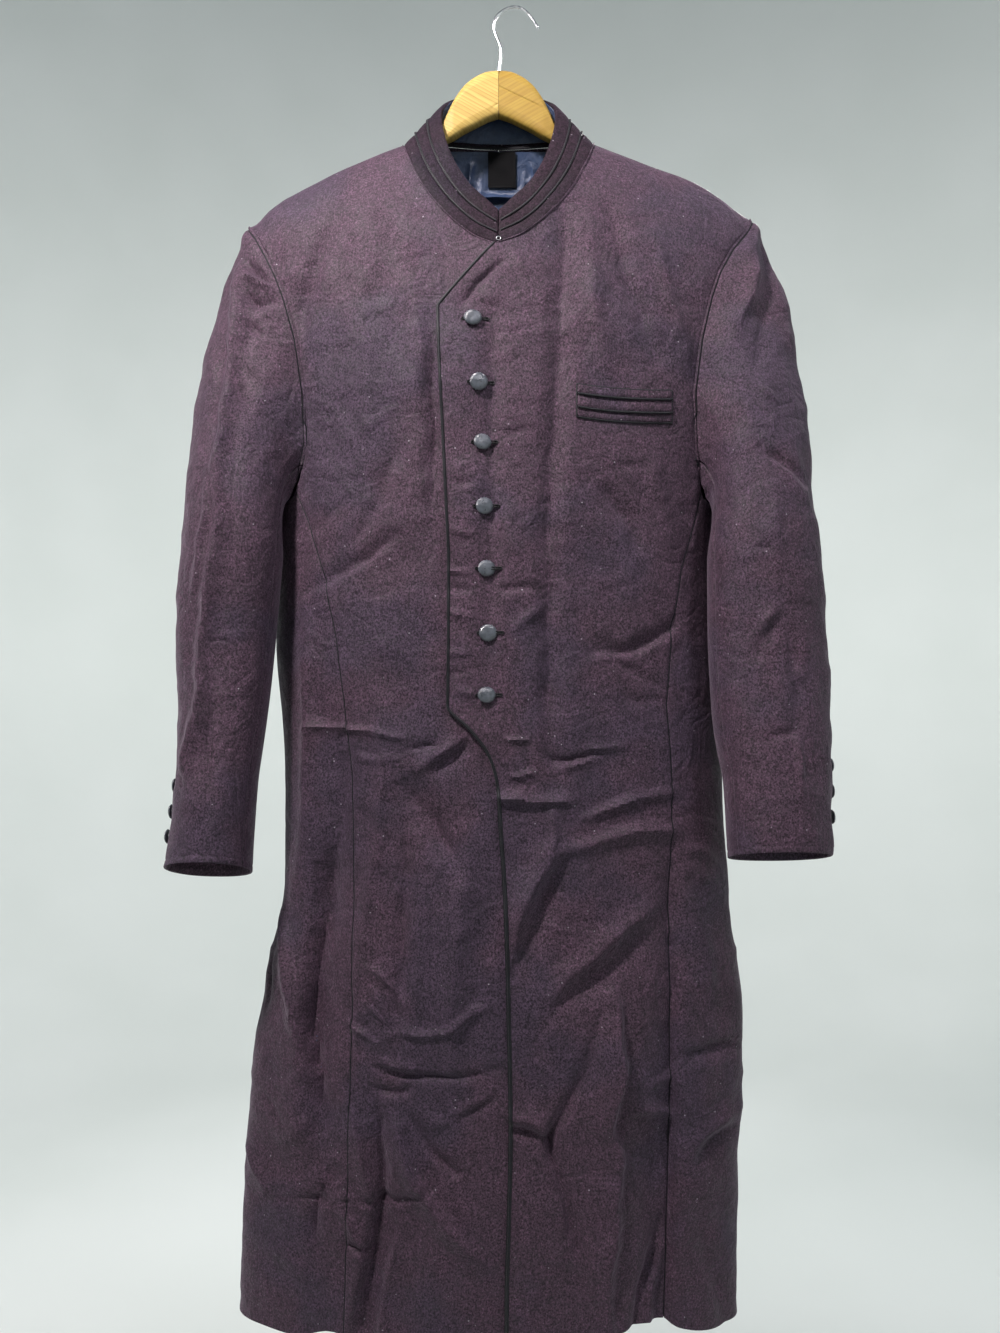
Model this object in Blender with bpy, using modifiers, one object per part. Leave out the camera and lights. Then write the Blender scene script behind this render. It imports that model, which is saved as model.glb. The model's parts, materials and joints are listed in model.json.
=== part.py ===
"""Sherwani coat on a wooden hanger.

Frame: metres, +Z up, -Y is the coat's front, +X is the wearer's left.
Origin: inside the top of the hanger's hook, where it rests on its support.
All cloth pieces are thin walls laid on one form of the hanging coat. Tables and
named sizes are in millimetres and are turned to metres as meshes are made.
"""

import math

import bmesh
import bpy
import numpy as np
from mathutils import Matrix, Vector

MM = 0.001

# ---------------------------------------------------------------- named sizes
CLOTH = 1.8  # wall of the outer cloth
COLLAR_WALL = 2.4
LINING_WALL = 0.8
WELT_WALL = 1.2
SEAM = 0.2  # each piece stops this far short of its seam line
CENTRE_X = -15.0  # middle of neck and hanger

RIDGE_Y = 3.0  # shoulder line, front to back
FRONT_ROUND = 120.0  # height over which the front rolls over the shoulder
BACK_ROUND = 85.0
FRONT_P, FRONT_Q = 2.4, 1.9  # fullness of the front's section
BACK_P, BACK_Q = 3.2, 2.0

UNDERARM_Z = -455.0
UNDERARM_DIP = 15.0
OVERLAP_RISE = 2.6  # the over front lies this far proud of the form
OVERLAP_SINK = 1.2  # the under front lies this far inside it

PIPING_R = 1.0
BUTTON_R, BUTTON_H = 8.0, 4.6
CUFF_BUTTON_R, CUFF_BUTTON_H = 6.6, 3.8
WIRE_R = 1.4
ARM_THICK = 15.0


class Table:
    """A short table with named columns; at() reads a column smoothly by height."""

    def __init__(self, columns, rows, key=0):
        self.names = columns.split()
        self.rows = np.array(sorted(rows, key=lambda row: row[key]), float)
        self.key = key

    def at(self, name, where):
        x = self.rows[:, self.key]
        y = self.rows[:, self.names.index(name)]
        h = np.diff(x)
        d = np.diff(y) / h
        m = np.zeros(len(x))
        m[0], m[-1] = d[0], d[-1]
        for i in range(1, len(x) - 1):
            if d[i - 1] * d[i] > 0:
                w1, w2 = 2 * h[i] + h[i - 1], h[i] + 2 * h[i - 1]
                m[i] = (w1 + w2) / (w1 / d[i - 1] + w2 / d[i])
        q = np.clip(np.asarray(where, float), x[0], x[-1])
        i = np.clip(np.searchsorted(x, q, side="right") - 1, 0, len(x) - 2)
        t = (q - x[i]) / h[i]
        return (
            (1 + 2 * t) * (1 - t) ** 2 * y[i]
            + t * (1 - t) ** 2 * h[i] * m[i]
            + t * t * (3 - 2 * t) * y[i + 1]
            + t * t * (t - 1) * h[i] * m[i + 1]
        )

    def straight(self, name, where):
        return np.interp(
            where, self.rows[:, self.key], self.rows[:, self.names.index(name)]
        )


# sections of the coat: outline to each side, depth of front and back, and how
# far back the widest point of each side lies
BODY = Table(
    "z left right front back side",
    [
        (-110, -300, 270, -42, 36, 8),
        (-200, -298, 268, -47, 40, 8),
        (-250, -276, 244, -51, 43, 12),
        (-300, -257, 227, -56, 46, 18),
        (-368, -240, 208, -60, 48, 26),
        (-455, -230, 197, -60, 48, 30),
        (-520, -229, 195, -58, 47, 29),
        (-595, -228.5, 196, -56, 45, 24),
        (-670, -221.5, 197, -54, 43, 18),
        (-740, -218, 198, -53, 42, 14),
        (-804, -217, 201, -53, 43, 10),
        (-840, -218.5, 202.5, -54, 44, 9),
        (-865, -225, 206, -54, 45, 8),
        (-890, -232, 211, -55, 46, 8),
        (-942, -242, 216.5, -56, 47, 8),
        (-992, -249, 217, -56, 48, 8),
        (-1060, -253.5, 214.5, -57, 49, 8),
        (-1146, -257.6, 212.5, -57, 51, 8),
        (-1240, -261.5, 210, -58, 53, 8),
    ],
)

# top of the shoulder line along the coat
SHOULDER = Table(
    "x z",
    [
        (-262, -213),
        (-250, -205.5),
        (-244, -203.5),
        (-230, -190),
        (-209, -176.5),
        (-178.6, -160.5),
        (-139.6, -143.5),
        (-104, -129.5),
        (-60, -112),
        (-15, -98),
        (30, -111),
        (74, -128),
        (115, -144),
        (167, -163.5),
        (192.6, -178.5),
        (214, -194.5),
        (221, -198),
        (233, -205),
    ],
)

# the armhole's edge on front and back, right and left of the wearer
ARMHOLE = Table(
    "z front_r front_l back_r back_l",
    [
        (-208, -249, 221, -249, 221),
        (-223, -238, 208, -240, 211),
        (-240, -229, 196, -233, 203),
        (-262, -218, 185, -226, 196),
        (-300, -205, 174, -216, 186),
        (-340, -196, 166.5, -208, 178),
        (-368, -193, 164, -205, 175),
        (-395, -191, 165, -205, 175),
        (-420, -193, 168, -207, 177),
        (-443, -198, 171.5, -211, 181),
        (-455, -203, 173.5, -214, 184),
    ],
)

# long seams below the armhole: princess seam in front, side seam behind
SEAMS = Table(
    "z princess_r princess_l rear_r rear_l",
    [
        (-455, -203, 173.5, -214, 184),
        (-478, -193, 168.5, -211, 180),
        (-523, -177, 154, -206, 174),
        (-562, -168, 147, -203, 170),
        (-608, -159.5, 140, -199, 167),
        (-654, -154, 137.5, -195, 165),
        (-700, -150, 141, -192, 164),
        (-744, -147, 142.2, -191, 165),
        (-860, -146, 142, -196, 172),
        (-1010, -148, 141.8, -214, 180),
        (-1091, -150, 137, -220, 180),
        (-1240, -153, 133.5, -225, 178),
    ],
)

# the shaped edge of the over front, and the hidden edge of the under front
FRONT_EDGE = Table(
    "z over under",
    [
        (-241, -16, -15),
        (-258, -32, 2),
        (-299.6, -67.4, 6),
        (-343, -66, 7),
        (-515, -57.6, 8),
        (-596, -57.8, 9),
        (-654, -58.6, 11),
        (-661, -53.2, 13),
        (-668, -44.6, 15),
        (-678, -35.2, 18),
        (-690, -25.8, 21),
        (-704, -19.3, 24),
        (-720, -15.0, 26),
        (-740, -12.6, 28),
        (-771, -10.6, 30),
        (-807, -8, 32),
        (-851, -6, 34),
        (-923, -4, 35),
        (-1029, -2.2, 36),
        (-1109, -3.8, 35),
        (-1172, -5.6, 34),
        (-1240, -5.8, 34),
    ],
)

# half of the stand collar from its front corner to the middle of the back:
# its seam and its top edge, measured from the collar's middle
COLLAR = Table(
    "at low_x low_z top_x top_y top_z",
    [
        (0, 1.0, -241, 1.6, -40, -205.5),
        (1, 20, -234, 13, -39.5, -194.5),
        (2, 34, -224, 24, -37.5, -184),
        (3, 47, -211.5, 35, -34, -168),
        (4, 60.5, -195.5, 44, -28, -148.5),
        (5, 72, -177, 49.5, -20, -129),
        (6, 79, -161, 52.5, -12, -114),
        (7, 85, -144.5, 53.5, -4, -98),
        (8, 89, -129.5, 52, 4, -87),
        (9, 75, -124.5, 43, 11, -79.5),
        (10, 50, -121.5, 27, 14.5, -76.5),
        (11, 0, -120, 0, 16, -75.5),
    ],
)

# sleeves: outline away from and beside the body, middle and half depth, and how
# much higher the front of each ring is than its middle
SLEEVE_R = Table(
    "z outer inner mid half rise",
    [
        (-504, -301.8, -211.5, -28, 46, 0),
        (-549, -303.2, -215.4, -28, 46, 1),
        (-587, -304.4, -218.8, -28, 45.5, 2),
        (-631, -303.4, -222.5, -31, 44.5, 4),
        (-671, -302.0, -226.5, -36, 43.5, 7),
        (-694, -301.6, -229.3, -39, 43, 9),
        (-719, -301.6, -232.0, -43, 42.5, 10),
        (-738, -303.0, -232.9, -46, 42.2, 11.5),
        (-758, -305.0, -233.8, -48, 42, 13),
        (-780, -308.0, -234.7, -50, 41.5, 14),
        (-799.5, -310.6, -235.0, -52, 41, 14.5),
    ],
)
SLEEVE_L = Table(
    "z outer inner mid half rise",
    [
        (-504, 275.6, 176.5, -28, 46, 0),
        (-549, 279.9, 176.5, -28, 46, 1),
        (-587, 281.8, 176.8, -28, 45.5, 2),
        (-631, 282.4, 178.0, -31, 44.5, 4),
        (-671, 281.6, 180.0, -36, 43.5, 7),
        (-694, 280.8, 183.2, -39, 43, 8),
        (-719, 280.4, 187.3, -43, 42.5, 9),
        (-738, 280.0, 188.2, -46, 42.2, 10),
        (-758, 279.8, 188.9, -48, 42, 11),
        (-776, 279.8, 189.5, -50, 41.5, 11.5),
        (-788, 279.8, 189.8, -51.5, 41, 11.5),
    ],
)

# largest folds of the skirts: a trough (negative) or a ridge from one end to
# the other, its half width and its height
FOLDS = (
    "x0 z0 x1 z1 half height",
    [
        (-160, -770, -178, -1000, 22, -7),
        (-197, -860, -200, -1080, 20, 5),
        (-95, -1085, -122, -1240, 20, -6),
        (-66, -1090, -60, -1240, 30, 4),
        (86, -900, 88, -1225, 24, 4),
        (118, -1000, 128, -1240, 14, -6),
        (165, -860, 172, -1180, 24, 3),
        (-60, -750, -110, -1000, 30, 3),
        (40, -870, 20, -1200, 30, 3),
    ],
)
BACK_FOLDS = (
    "x0 z0 x1 z1 half height",
    [
        (-120, -780, -150, -1240, 30, -7),
        (-70, -820, -80, -1240, 28, 5),
        (30, -800, 36, -1240, 30, 5),
        (95, -780, 112, -1240, 28, -7),
    ],
)

# hem height across the front
HEM = Table(
    "x z",
    [
        (-262, -1224),
        (-230, -1221),
        (-200, -1222),
        (-165, -1213),
        (-130, -1217),
        (-50, -1218),
        (-8, -1213),
        (30, -1215),
        (80, -1212),
        (120, -1204),
        (134, -1203),
        (145, -1219),
        (175, -1224),
        (212, -1228),
    ],
)


# ------------------------------------------------------------- form of the coat
def fold_lift(folds, x, z):
    """Sum of the folds at a place: each is a soft ridge along a straight line."""
    names, rows = folds
    lift = np.zeros(np.broadcast(x, z).shape)
    for x0, z0, x1, z1, half, height in rows:
        along = np.array([x1 - x0, z1 - z0], float)
        length = np.hypot(*along)
        along /= length
        u = ((x - x0) * along[0] + (z - z0) * along[1]) / length
        across = (x - x0) * -along[1] + (z - z0) * along[0]
        ends = np.clip(u / 0.25, 0, 1) if z1 < -1100 else np.clip(u / 0.25, 0, 1) * np.clip((1 - u) / 0.25, 0, 1)
        ends = ends * ends * (3 - 2 * ends)
        lift = lift + height * ends * np.exp(-((across / half) ** 2))
    return lift


def front_y(x, z):
    x, z = np.asarray(x, float), np.asarray(z, float)
    left, right = BODY.at("left", z), BODY.at("right", z)
    front, side = BODY.at("front", z), BODY.at("side", z)
    t = np.clip(np.abs(x - (left + right) / 2) / ((right - left) / 2), 0, 1)
    full = (1 - t**FRONT_P) ** (1 / FRONT_Q)
    y = side - (side - front) * full - fold_lift(FOLDS, x, z) * np.minimum(1, 1.6 * full)
    drop = np.clip((SHOULDER.at("z", x) - z) / FRONT_ROUND, 0, 1)
    return RIDGE_Y + (y - RIDGE_Y) * np.sqrt(1 - (1 - drop) ** 2)


def back_y(x, z):
    x, z = np.asarray(x, float), np.asarray(z, float)
    left, right = BODY.at("left", z), BODY.at("right", z)
    back, side = BODY.at("back", z), BODY.at("side", z)
    t = np.clip(np.abs(x - (left + right) / 2) / ((right - left) / 2), 0, 1)
    full = (1 - t**BACK_P) ** (1 / BACK_Q)
    y = side + (back - side) * full + fold_lift(BACK_FOLDS, x, z) * np.minimum(1, 1.6 * full)
    drop = np.clip((SHOULDER.at("z", x) - z) / BACK_ROUND, 0, 1)
    return RIDGE_Y + (y - RIDGE_Y) * np.sqrt(1 - (1 - drop) ** 2)


def surface(form, x, z, out=0.0):
    """Points on the front or back of the form, moved out along its normal."""
    x, z = np.broadcast_arrays(np.asarray(x, float), np.asarray(z, float))
    y = form(x, z)
    if not np.any(out):
        return np.stack([x, y, z], -1)
    e = 0.5
    dx = (form(x + e, z) - form(x - e, z)) / (2 * e)
    dz = (form(x, z + e) - form(x, z - e)) / (2 * e)
    n = np.stack([dx, -np.ones_like(dx), dz], -1)
    if form is back_y:
        n = -n
    n /= np.linalg.norm(n, axis=-1, keepdims=True)
    return np.stack([x, y, z], -1) + n * np.asarray(out)[..., None]


def smooth(t):
    t = np.clip(t, 0, 1)
    return t * t * (3 - 2 * t)


def under_sink(x):
    """The under front sinks a little as it nears the overlap."""
    return -OVERLAP_SINK * smooth((np.asarray(x, float) + 110) / 40)


def over_rise(x, z):
    """How far the over front stands proud, fading away past the hidden edge."""
    return OVERLAP_RISE * (1 - smooth((x - FRONT_EDGE.straight("under", z) - 6) / 60))


# ------------------------------------------------------------------ mesh makers
def material(name, colour, roughness, metallic=0.0):
    made = bpy.data.materials.new(name)
    made.use_nodes = True
    shader = made.node_tree.nodes["Principled BSDF"]
    shader.inputs["Base Color"].default_value = (*colour, 1)
    shader.inputs["Roughness"].default_value = roughness
    shader.inputs["Metallic"].default_value = metallic
    made.diffuse_color = (*colour, 1)
    return made


def place(obj, made):
    PARTS.objects.link(obj)
    obj.data.materials.append(made)
    return obj


def inset(points, amount=SEAM, top=None):
    """Draws the four edges of a grid in by the seam gap."""
    p = points.copy()

    def toward(edge, inner, amount=amount):
        step = inner - edge
        size = np.linalg.norm(step, axis=-1, keepdims=True)
        return edge + step / size * np.minimum(amount, size * 0.4)

    p[0] = toward(p[0], p[1], amount if top is None else top)
    p[-1] = toward(p[-1], p[-2])
    p[:, 0], p[:, -1] = toward(p[:, 0], p[:, 1]), toward(p[:, -1], p[:, -2])
    return p


def cloth(name, points, made, wall=CLOTH, flip=False, gap=SEAM, top=None):
    """A wall of cloth: an open grid of points given its thickness inwards."""
    points = inset(np.asarray(points, float), gap, top)
    rows, cols = points.shape[:2]
    faces = []
    for i in range(rows - 1):
        for j in range(cols - 1):
            quad = [
                i * cols + j,
                (i + 1) * cols + j,
                (i + 1) * cols + j + 1,
                i * cols + j + 1,
            ]
            faces.append(quad[::-1] if flip else quad)
    mesh = bpy.data.meshes.new(name)
    mesh.from_pydata([tuple(p) for p in points.reshape(-1, 3) * MM], [], faces)
    mesh.shade_smooth()
    obj = place(bpy.data.objects.new(name, mesh), made)
    shell = obj.modifiers.new("wall", "SOLIDIFY")
    shell.thickness = wall * MM
    shell.offset = -1.0
    shell.use_even_offset = False
    shell.thickness_clamp = 0.0
    return obj


def tube(name, points, radius, made, cyclic=False):
    curve = bpy.data.curves.new(name, "CURVE")
    curve.dimensions = "3D"
    spline = curve.splines.new("POLY")
    spline.points.add(len(points) - 1)
    for point, place_at in zip(spline.points, points):
        point.co = (*(np.asarray(place_at) * MM), 1)
    spline.use_cyclic_u = cyclic
    curve.bevel_depth = radius * MM
    curve.bevel_resolution = 2
    curve.use_fill_caps = True
    return place(bpy.data.objects.new(name, curve), made)


def button(name, centre, normal, radius, height, made):
    """A covered button: a domed cap on a short shank, turned about its axis."""
    shank, gap = 0.4 * radius, 0.4
    profile = [
        (0, height),
        (0.5 * radius, 0.95 * height),
        (0.86 * radius, 0.76 * height),
        (radius, 0.48 * height),
        (shank, 0.30 * height),
        (shank, gap),
        (0, gap),
    ]
    mesh = bpy.data.meshes.new(name)
    mesh.from_pydata(
        [(r * MM, 0, h * MM) for r, h in profile],
        [(i, i + 1) for i in range(len(profile) - 1)],
        [],
    )
    obj = place(bpy.data.objects.new(name, mesh), made)
    turn = obj.modifiers.new("turn", "SCREW")
    turn.steps = turn.render_steps = 12
    turn.use_merge_vertices = True
    turn.merge_threshold = 0.00002
    obj.rotation_mode = "QUATERNION"
    obj.rotation_quaternion = Vector(normal).to_track_quat("Z", "Y")
    obj.location = Vector(centre) * MM
    return obj


def run(points):
    """Share of a line's length reached at each of its points."""
    length = np.concatenate([[0], np.cumsum(np.linalg.norm(np.diff(points, axis=0), axis=1))])
    return length / length[-1]


def resample(points, at):
    where = run(points)
    return np.array([np.interp(at, where, points[:, k]) for k in range(3)])


# --------------------------------------------------------------------- the coat
# Levels of the cloth's rows. Above FREE_Z the rows bend up to the shoulder.
TOP_Z, FREE_Z, HEM_Z = -225.0, -420.0, -1215.0
LEVELS = [
    -225, -225.5, -229, -238, -254, -273, -292.9, -325, -370, -415, UNDERARM_Z,
    -485, -530, -590, -654, -720, -771, -820, -880, -940, -1000, -1060, -1109,
    -1165, HEM_Z,
]  # fmt: skip
EDGE_LEVELS = [-661, -668, -678, -690, -704, -740]  # the shaped edge's own curve


def hem_z(x, z):
    """Lowers the last rows onto the hem line."""
    share = np.clip((-1109 - z) / (-1109 - HEM_Z), 0, 1)
    return z + (HEM.at("z", x) - HEM_Z) * share


def neckline(at, side):
    """Seam of collar and coat, from 0 in front to 8 at the neck point to 11."""
    return CENTRE_X + side * COLLAR.at("low_x", at), COLLAR.at("low_z", at)


def panel_grid(form, levels, top, inner, outer, columns):
    """Rows of a front or back: neckline and shoulder above, hem below."""
    top_x = np.array([p[0] for p in top])
    top_z = np.array([p[1] for p in top])
    share_top = (top_x - top_x[0]) / (top_x[-1] - top_x[0])
    share_low = np.append(np.arange(columns - 1), columns - 2 + EDGE_STEP)
    share_low[-2:] = columns - 2 - EDGE_STEP, columns - 2
    share_low = share_low / share_low[-1]
    grid = []
    for level in levels:
        h = np.clip((level - FREE_Z) / (TOP_Z - FREE_Z), 0, 1) ** 2
        z = level + h * (top_z - TOP_Z)
        share = h * share_top + (1 - h) * share_low
        x = inner(z[0]) + (outer(z[-1]) - inner(z[0])) * share
        if level == levels[0]:
            x, z = top_x, top_z
        if level < -1109:
            z = hem_z(x, z)
        grid.append((x, z))
    x = np.array([g[0] for g in grid])
    z = np.array([g[1] for g in grid])
    return x, z


def top_line(side, neck_at, shoulder_steps, tip):
    """(x, z) along the neckline and then down the shoulder to its tip."""
    line = [tuple(map(float, neckline(at, side))) for at in neck_at]
    neck_x = line[-1][0]
    for k in [*range(1, shoulder_steps), shoulder_steps - EDGE_STEP, shoulder_steps]:
        x = neck_x + (tip - neck_x) * k / shoulder_steps
        line.append((x, float(SHOULDER.at("z", x))))
    return line


def outer_line(side_name, part):
    """The armhole's edge and the long seam under it as one line by height."""
    arm = f"{'front' if part == 'front' else 'back'}_{side_name}"
    seam = f"{'princess' if part == 'front' else 'rear'}_{side_name}"

    knots = np.array([level for level in LEVELS if level <= UNDERARM_Z])[::-1]
    straight = SEAMS.at(seam, knots)

    def line(z):
        if z >= UNDERARM_Z:
            return float(ARMHOLE.at(arm, z))
        return float(np.interp(z, knots, straight))

    return line


FRONT_NECK = [0, 1.5, 3, 4.5, 5.8, 7, 8]
BACK_NECK = [11, 10.5, 9.5, 8]
EDGE_STEP = 0.2  # the column beside a seam is narrow, so that both walls agree
TIP = {"r": -249.0, "l": 221.0}
SIDE = {"r": -1, "l": 1}


def front_panel(side_name, made):
    side = SIDE[side_name]
    over = side_name == "l"
    top = top_line(side, FRONT_NECK, 4, TIP[side_name])
    x, z = panel_grid(
        front_y,
        sorted(LEVELS + EDGE_LEVELS, reverse=True) if over else LEVELS,
        top,
        lambda h: float(FRONT_EDGE.straight("over" if over else "under", h)),
        outer_line(side_name, "front"),
        len(top),
    )
    rise = over_rise(x, z) if over else under_sink(x)
    points = surface(front_y, x, z, rise)
    if not over:
        points = points[:, ::-1]
    name = "front_left" if over else "front_right"
    return points, cloth(name, points, made, gap=0.25, top=0.5)


def back_panel(side_name, made):
    side = SIDE[side_name]
    top = top_line(side, BACK_NECK, 4, TIP[side_name])
    x, z = panel_grid(
        back_y,
        LEVELS,
        top,
        lambda h: CENTRE_X - 11 * float(smooth((-500 - h) / 600)),
        outer_line(side_name, "back"),
        len(top),
    )
    points = surface(back_y, x, z)
    if side_name == "l":
        points = points[:, ::-1]
    name = "back_left" if side_name == "l" else "back_right"
    return points, cloth(name, points, made, gap=0.25, top=0.5)


def section_x(z, turn, power):
    """x of a place round the section, 0 at the wearer's left, 180 at the right."""
    left, right = BODY.at("left", z), BODY.at("right", z)
    c = math.cos(math.radians(turn))
    return (left + right) / 2 + (right - left) / 2 * math.copysign(abs(c) ** (2 / power), c)


def turn_of(x, z, power):
    left, right = BODY.at("left", z), BODY.at("right", z)
    t = np.clip((x - (left + right) / 2) / ((right - left) / 2), -1, 1)
    return math.degrees(math.acos(np.sign(t) * abs(t) ** (power / 2)))


def side_row(side_name, level, counts=(4, 3)):
    """One row of a side panel, from the princess seam round to the rear seam."""
    front_x = outer_line(side_name, "front")(level - 1e-6)
    rear_x = outer_line(side_name, "back")(level - 1e-6)
    end = 0.0 if side_name == "l" else 180.0
    row = []
    start = turn_of(front_x, level, FRONT_P)
    steps = list(range(counts[0]))
    for k in steps[:1] + [EDGE_STEP] + steps[1:]:
        turn = start + (end - start) * k / counts[0]
        x = front_x if k == 0 else section_x(level, turn, FRONT_P)
        row.append((front_y, float(x), turn))
    stop = turn_of(rear_x, level, BACK_P)
    steps = list(range(counts[1] + 1))
    for k in steps[:-1] + [counts[1] - EDGE_STEP] + steps[-1:]:
        turn = end + (stop - end) * k / counts[1]
        x = rear_x if k == counts[1] else section_x(level, turn, BACK_P)
        row.append((back_y, float(x), turn))
    return row


def side_panel(side_name, made):
    levels = [level for level in LEVELS + [-468] if level <= UNDERARM_Z]
    levels += EDGE_LEVELS if side_name == "l" else []
    levels.sort(reverse=True)
    grid = []
    for level in levels:
        row = side_row(side_name, level)
        n = len(row) - 1
        h = np.clip((level + 560) / (UNDERARM_Z + 560), 0, 1) ** 2
        points = []
        for k, (form, x, turn) in enumerate(row):
            bow = UNDERARM_DIP * (1 - (2 * k / n - 1) ** 2) * h
            z = level - bow
            if level < -1109:
                z = float(hem_z(x, level))
            if 0 < k < n:
                power = FRONT_P if form is front_y else BACK_P
                x = float(section_x(z, turn, power))
            points.append(surface(form, x, z))
        grid.append(points)
    points = np.array(grid)
    if side_name == "r":
        points = points[:, ::-1]
    name = "side_panel_left" if side_name == "l" else "side_panel_right"
    return points, cloth(name, points, made)


def armhole_loop(front, under, back, side_name):
    """Two lines from the underarm to the shoulder tip, by front and by back,
    through the corners of the panels that the sleeve is sewn to."""
    rows = LEVELS.index(UNDERARM_Z) + 1
    front_edge = front[:rows, -1 if side_name == "l" else 0]
    back_edge = back[:rows, 0 if side_name == "l" else -1]
    low = under[0] if side_name == "l" else under[0][::-1]
    middle = int(np.argmin(low[:, 2]))
    by_front = np.concatenate([low[: middle + 1][::-1], front_edge[::-1][1:]])
    by_back = np.concatenate([low[middle:], back_edge[::-1][1:]])
    corners = [run(by_front)[k] for k in range(middle + 1)]
    corners += [-run(by_back)[k] for k in range(1, len(low) - middle)]
    return by_front, by_back, sorted(corners)


def sleeve_ring(table, level, a, side):
    """Points round a sleeve: a is 0 beside the body and 1 or -1 at the outside."""
    outer, inner = table.at("outer", level), table.at("inner", level)
    mid, half, rise = (table.at(k, level) for k in ("mid", "half", "rise"))
    a = np.asarray(a, float)
    psi = math.pi * a - math.radians(35) * (1 - np.abs(a))
    c, s = np.cos(psi), np.sin(psi)
    p = 2 / 2.15
    cx = (outer + inner) / 2 + abs(outer - inner) / 2 * np.sign(c) * np.abs(c) ** p * -side
    sy = -np.sign(s) * np.abs(s) ** p
    return np.stack([cx, mid + half * sy, level - rise * sy], -1)


def clear_of_body(points, side, margin=2.8):
    """Presses a sleeve flat where it would touch the coat's side."""
    p = points.copy()
    x, y, z = p[..., 0], p[..., 1], p[..., 2]
    left, right = BODY.at("left", z), BODY.at("right", z)
    front, back, sy = BODY.at("front", z), BODY.at("back", z), BODY.at("side", z)
    ahead = y < sy
    d = np.clip(np.where(ahead, (sy - y) / (sy - front), (y - sy) / (back - sy)), 0, 1)
    power = np.where(ahead, FRONT_P, BACK_P)
    root = np.where(ahead, FRONT_Q, BACK_Q)
    t = (1 - d**root) ** (1 / power)
    edge = (left + right) / 2 + side * (right - left) / 2 * t
    limit = edge + side * (margin + 2.2 * smooth((y - sy + 6) / 8))
    low = z < UNDERARM_Z + 2
    pushed = np.where(side > 0, np.maximum(x, limit), np.minimum(x, limit))
    pushed = np.where(low, pushed, x)
    p[1:, ..., 0] = pushed[1:]
    p[0, ..., 0] += side * 0.9 * smooth((-430 - z[0]) / 20)
    return p


CAP_STEPS = [0, 0.06, 0.16, 0.3, 0.46, 0.64, 0.82]
SLEEVE_LEVELS = [-520, -560, -605, -645, -675, -705, -738, -770]
RING_Z = -520.0
CAP_HEAD = {"r": 0.24, "l": 0.38}  # how far the sleeve heads stand out


def sleeve_point(side_name, loops, table, alpha, row):
    """Outer surface of a sleeve; row below 1 is in the cap, above it a height."""
    side = SIDE[side_name]
    a = alpha if alpha <= 1 else alpha - 2
    if row > 1e-9 - 1 and row < 1:
        loop = loops[0] if a >= 0 else loops[1]
        start = resample(loop, abs(a))
        end = sleeve_ring(table, RING_Z, a, side)
        span = np.linalg.norm(end - start)
        c = 1 - abs(a)
        head = CAP_HEAD[side_name] * float(smooth((abs(a) - 0.5) / 0.5))
        outward = np.array([side * (0.22 + 0.75 * c + head), -0.30 * math.sin(math.pi * a), -1 + 0.55 * c])
        outward /= np.linalg.norm(outward)
        below = sleeve_ring(table, RING_Z - 12, a, side) - end
        below /= np.linalg.norm(below)
        t = row
        return (
            (1 + 2 * t) * (1 - t) ** 2 * start
            + t * (1 - t) ** 2 * span * 0.9 * outward
            + t * t * (3 - 2 * t) * end
            + t * t * (t - 1) * span * 0.9 * below
        )
    return sleeve_ring(table, row, a, side)


def sleeve(side_name, loops, made):
    side = SIDE[side_name]
    table = SLEEVE_R if side_name == "r" else SLEEVE_L
    cuff = float(table.rows[:, 0].min())
    rows = CAP_STEPS + SLEEVE_LEVELS + [cuff]
    word = "right" if side_name == "r" else "left"

    def piece(name, start, stop, turns):
        turns = np.array(turns)
        shares = (turns - start[0]) / (stop[0] - start[0])
        grid = []
        for k, row in enumerate(rows):
            low = np.clip((k - 3) / (len(rows) - 4), 0, 1)
            a0 = start[0] + (start[1] - start[0]) * low
            a1 = stop[0] + (stop[1] - stop[0]) * low
            around = a0 + (a1 - a0) * shares
            grid.append([sleeve_point(side_name, loops, table, a, row) for a in around])
        points = clear_of_body(np.array(grid), side)
        # the cap starts just outside its seam with the armhole
        points[0] += (points[1] - points[0]) / np.linalg.norm(
            points[1] - points[0], axis=-1, keepdims=True
        ) * 0.95
        return points, cloth(name, points, made, flip=side_name == "r", gap=0.42)

    upper = [0.22, 0.24, 0.33, 0.43, 0.53, 0.64, 0.76, 0.88, 1.0, 1.12, 1.23, 1.25]
    under = [-0.75, -0.73, -0.6, -0.45, -0.3, 0.2, 0.22]
    corners = [c for c in loops[2] if -0.25 < c < 0.17]
    under = sorted(under + [c for k, c in enumerate(corners) if k == 0 or c - corners[k - 1] > 0.012])
    return (
        piece(f"sleeve_{word}_upper", (0.22, 0.27), (1.25, 1.03), upper),
        piece(f"sleeve_{word}_under", (-0.75, -0.97), (0.22, 0.27), under),
    )


def neck_seam(at, side):
    """A place on the neck seam: straight between the corners of the panels."""
    knots = sorted(FRONT_NECK + BACK_NECK[:-1])
    low = max(k for k in knots[:-1] if k <= at + 1e-9)
    high = min(k for k in knots if k > low)

    def corner(knot):
        x, z = neckline(knot, side)
        if knot == 8:
            return np.array([float(x), RIDGE_Y, float(z)])
        if knot > 8:
            return surface(back_y, x, z)
        return surface(front_y, x, z, float(over_rise(x, z) if side > 0 else under_sink(x)))

    share = (at - low) / (high - low)
    return corner(low) * (1 - share) + corner(high) * share


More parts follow.
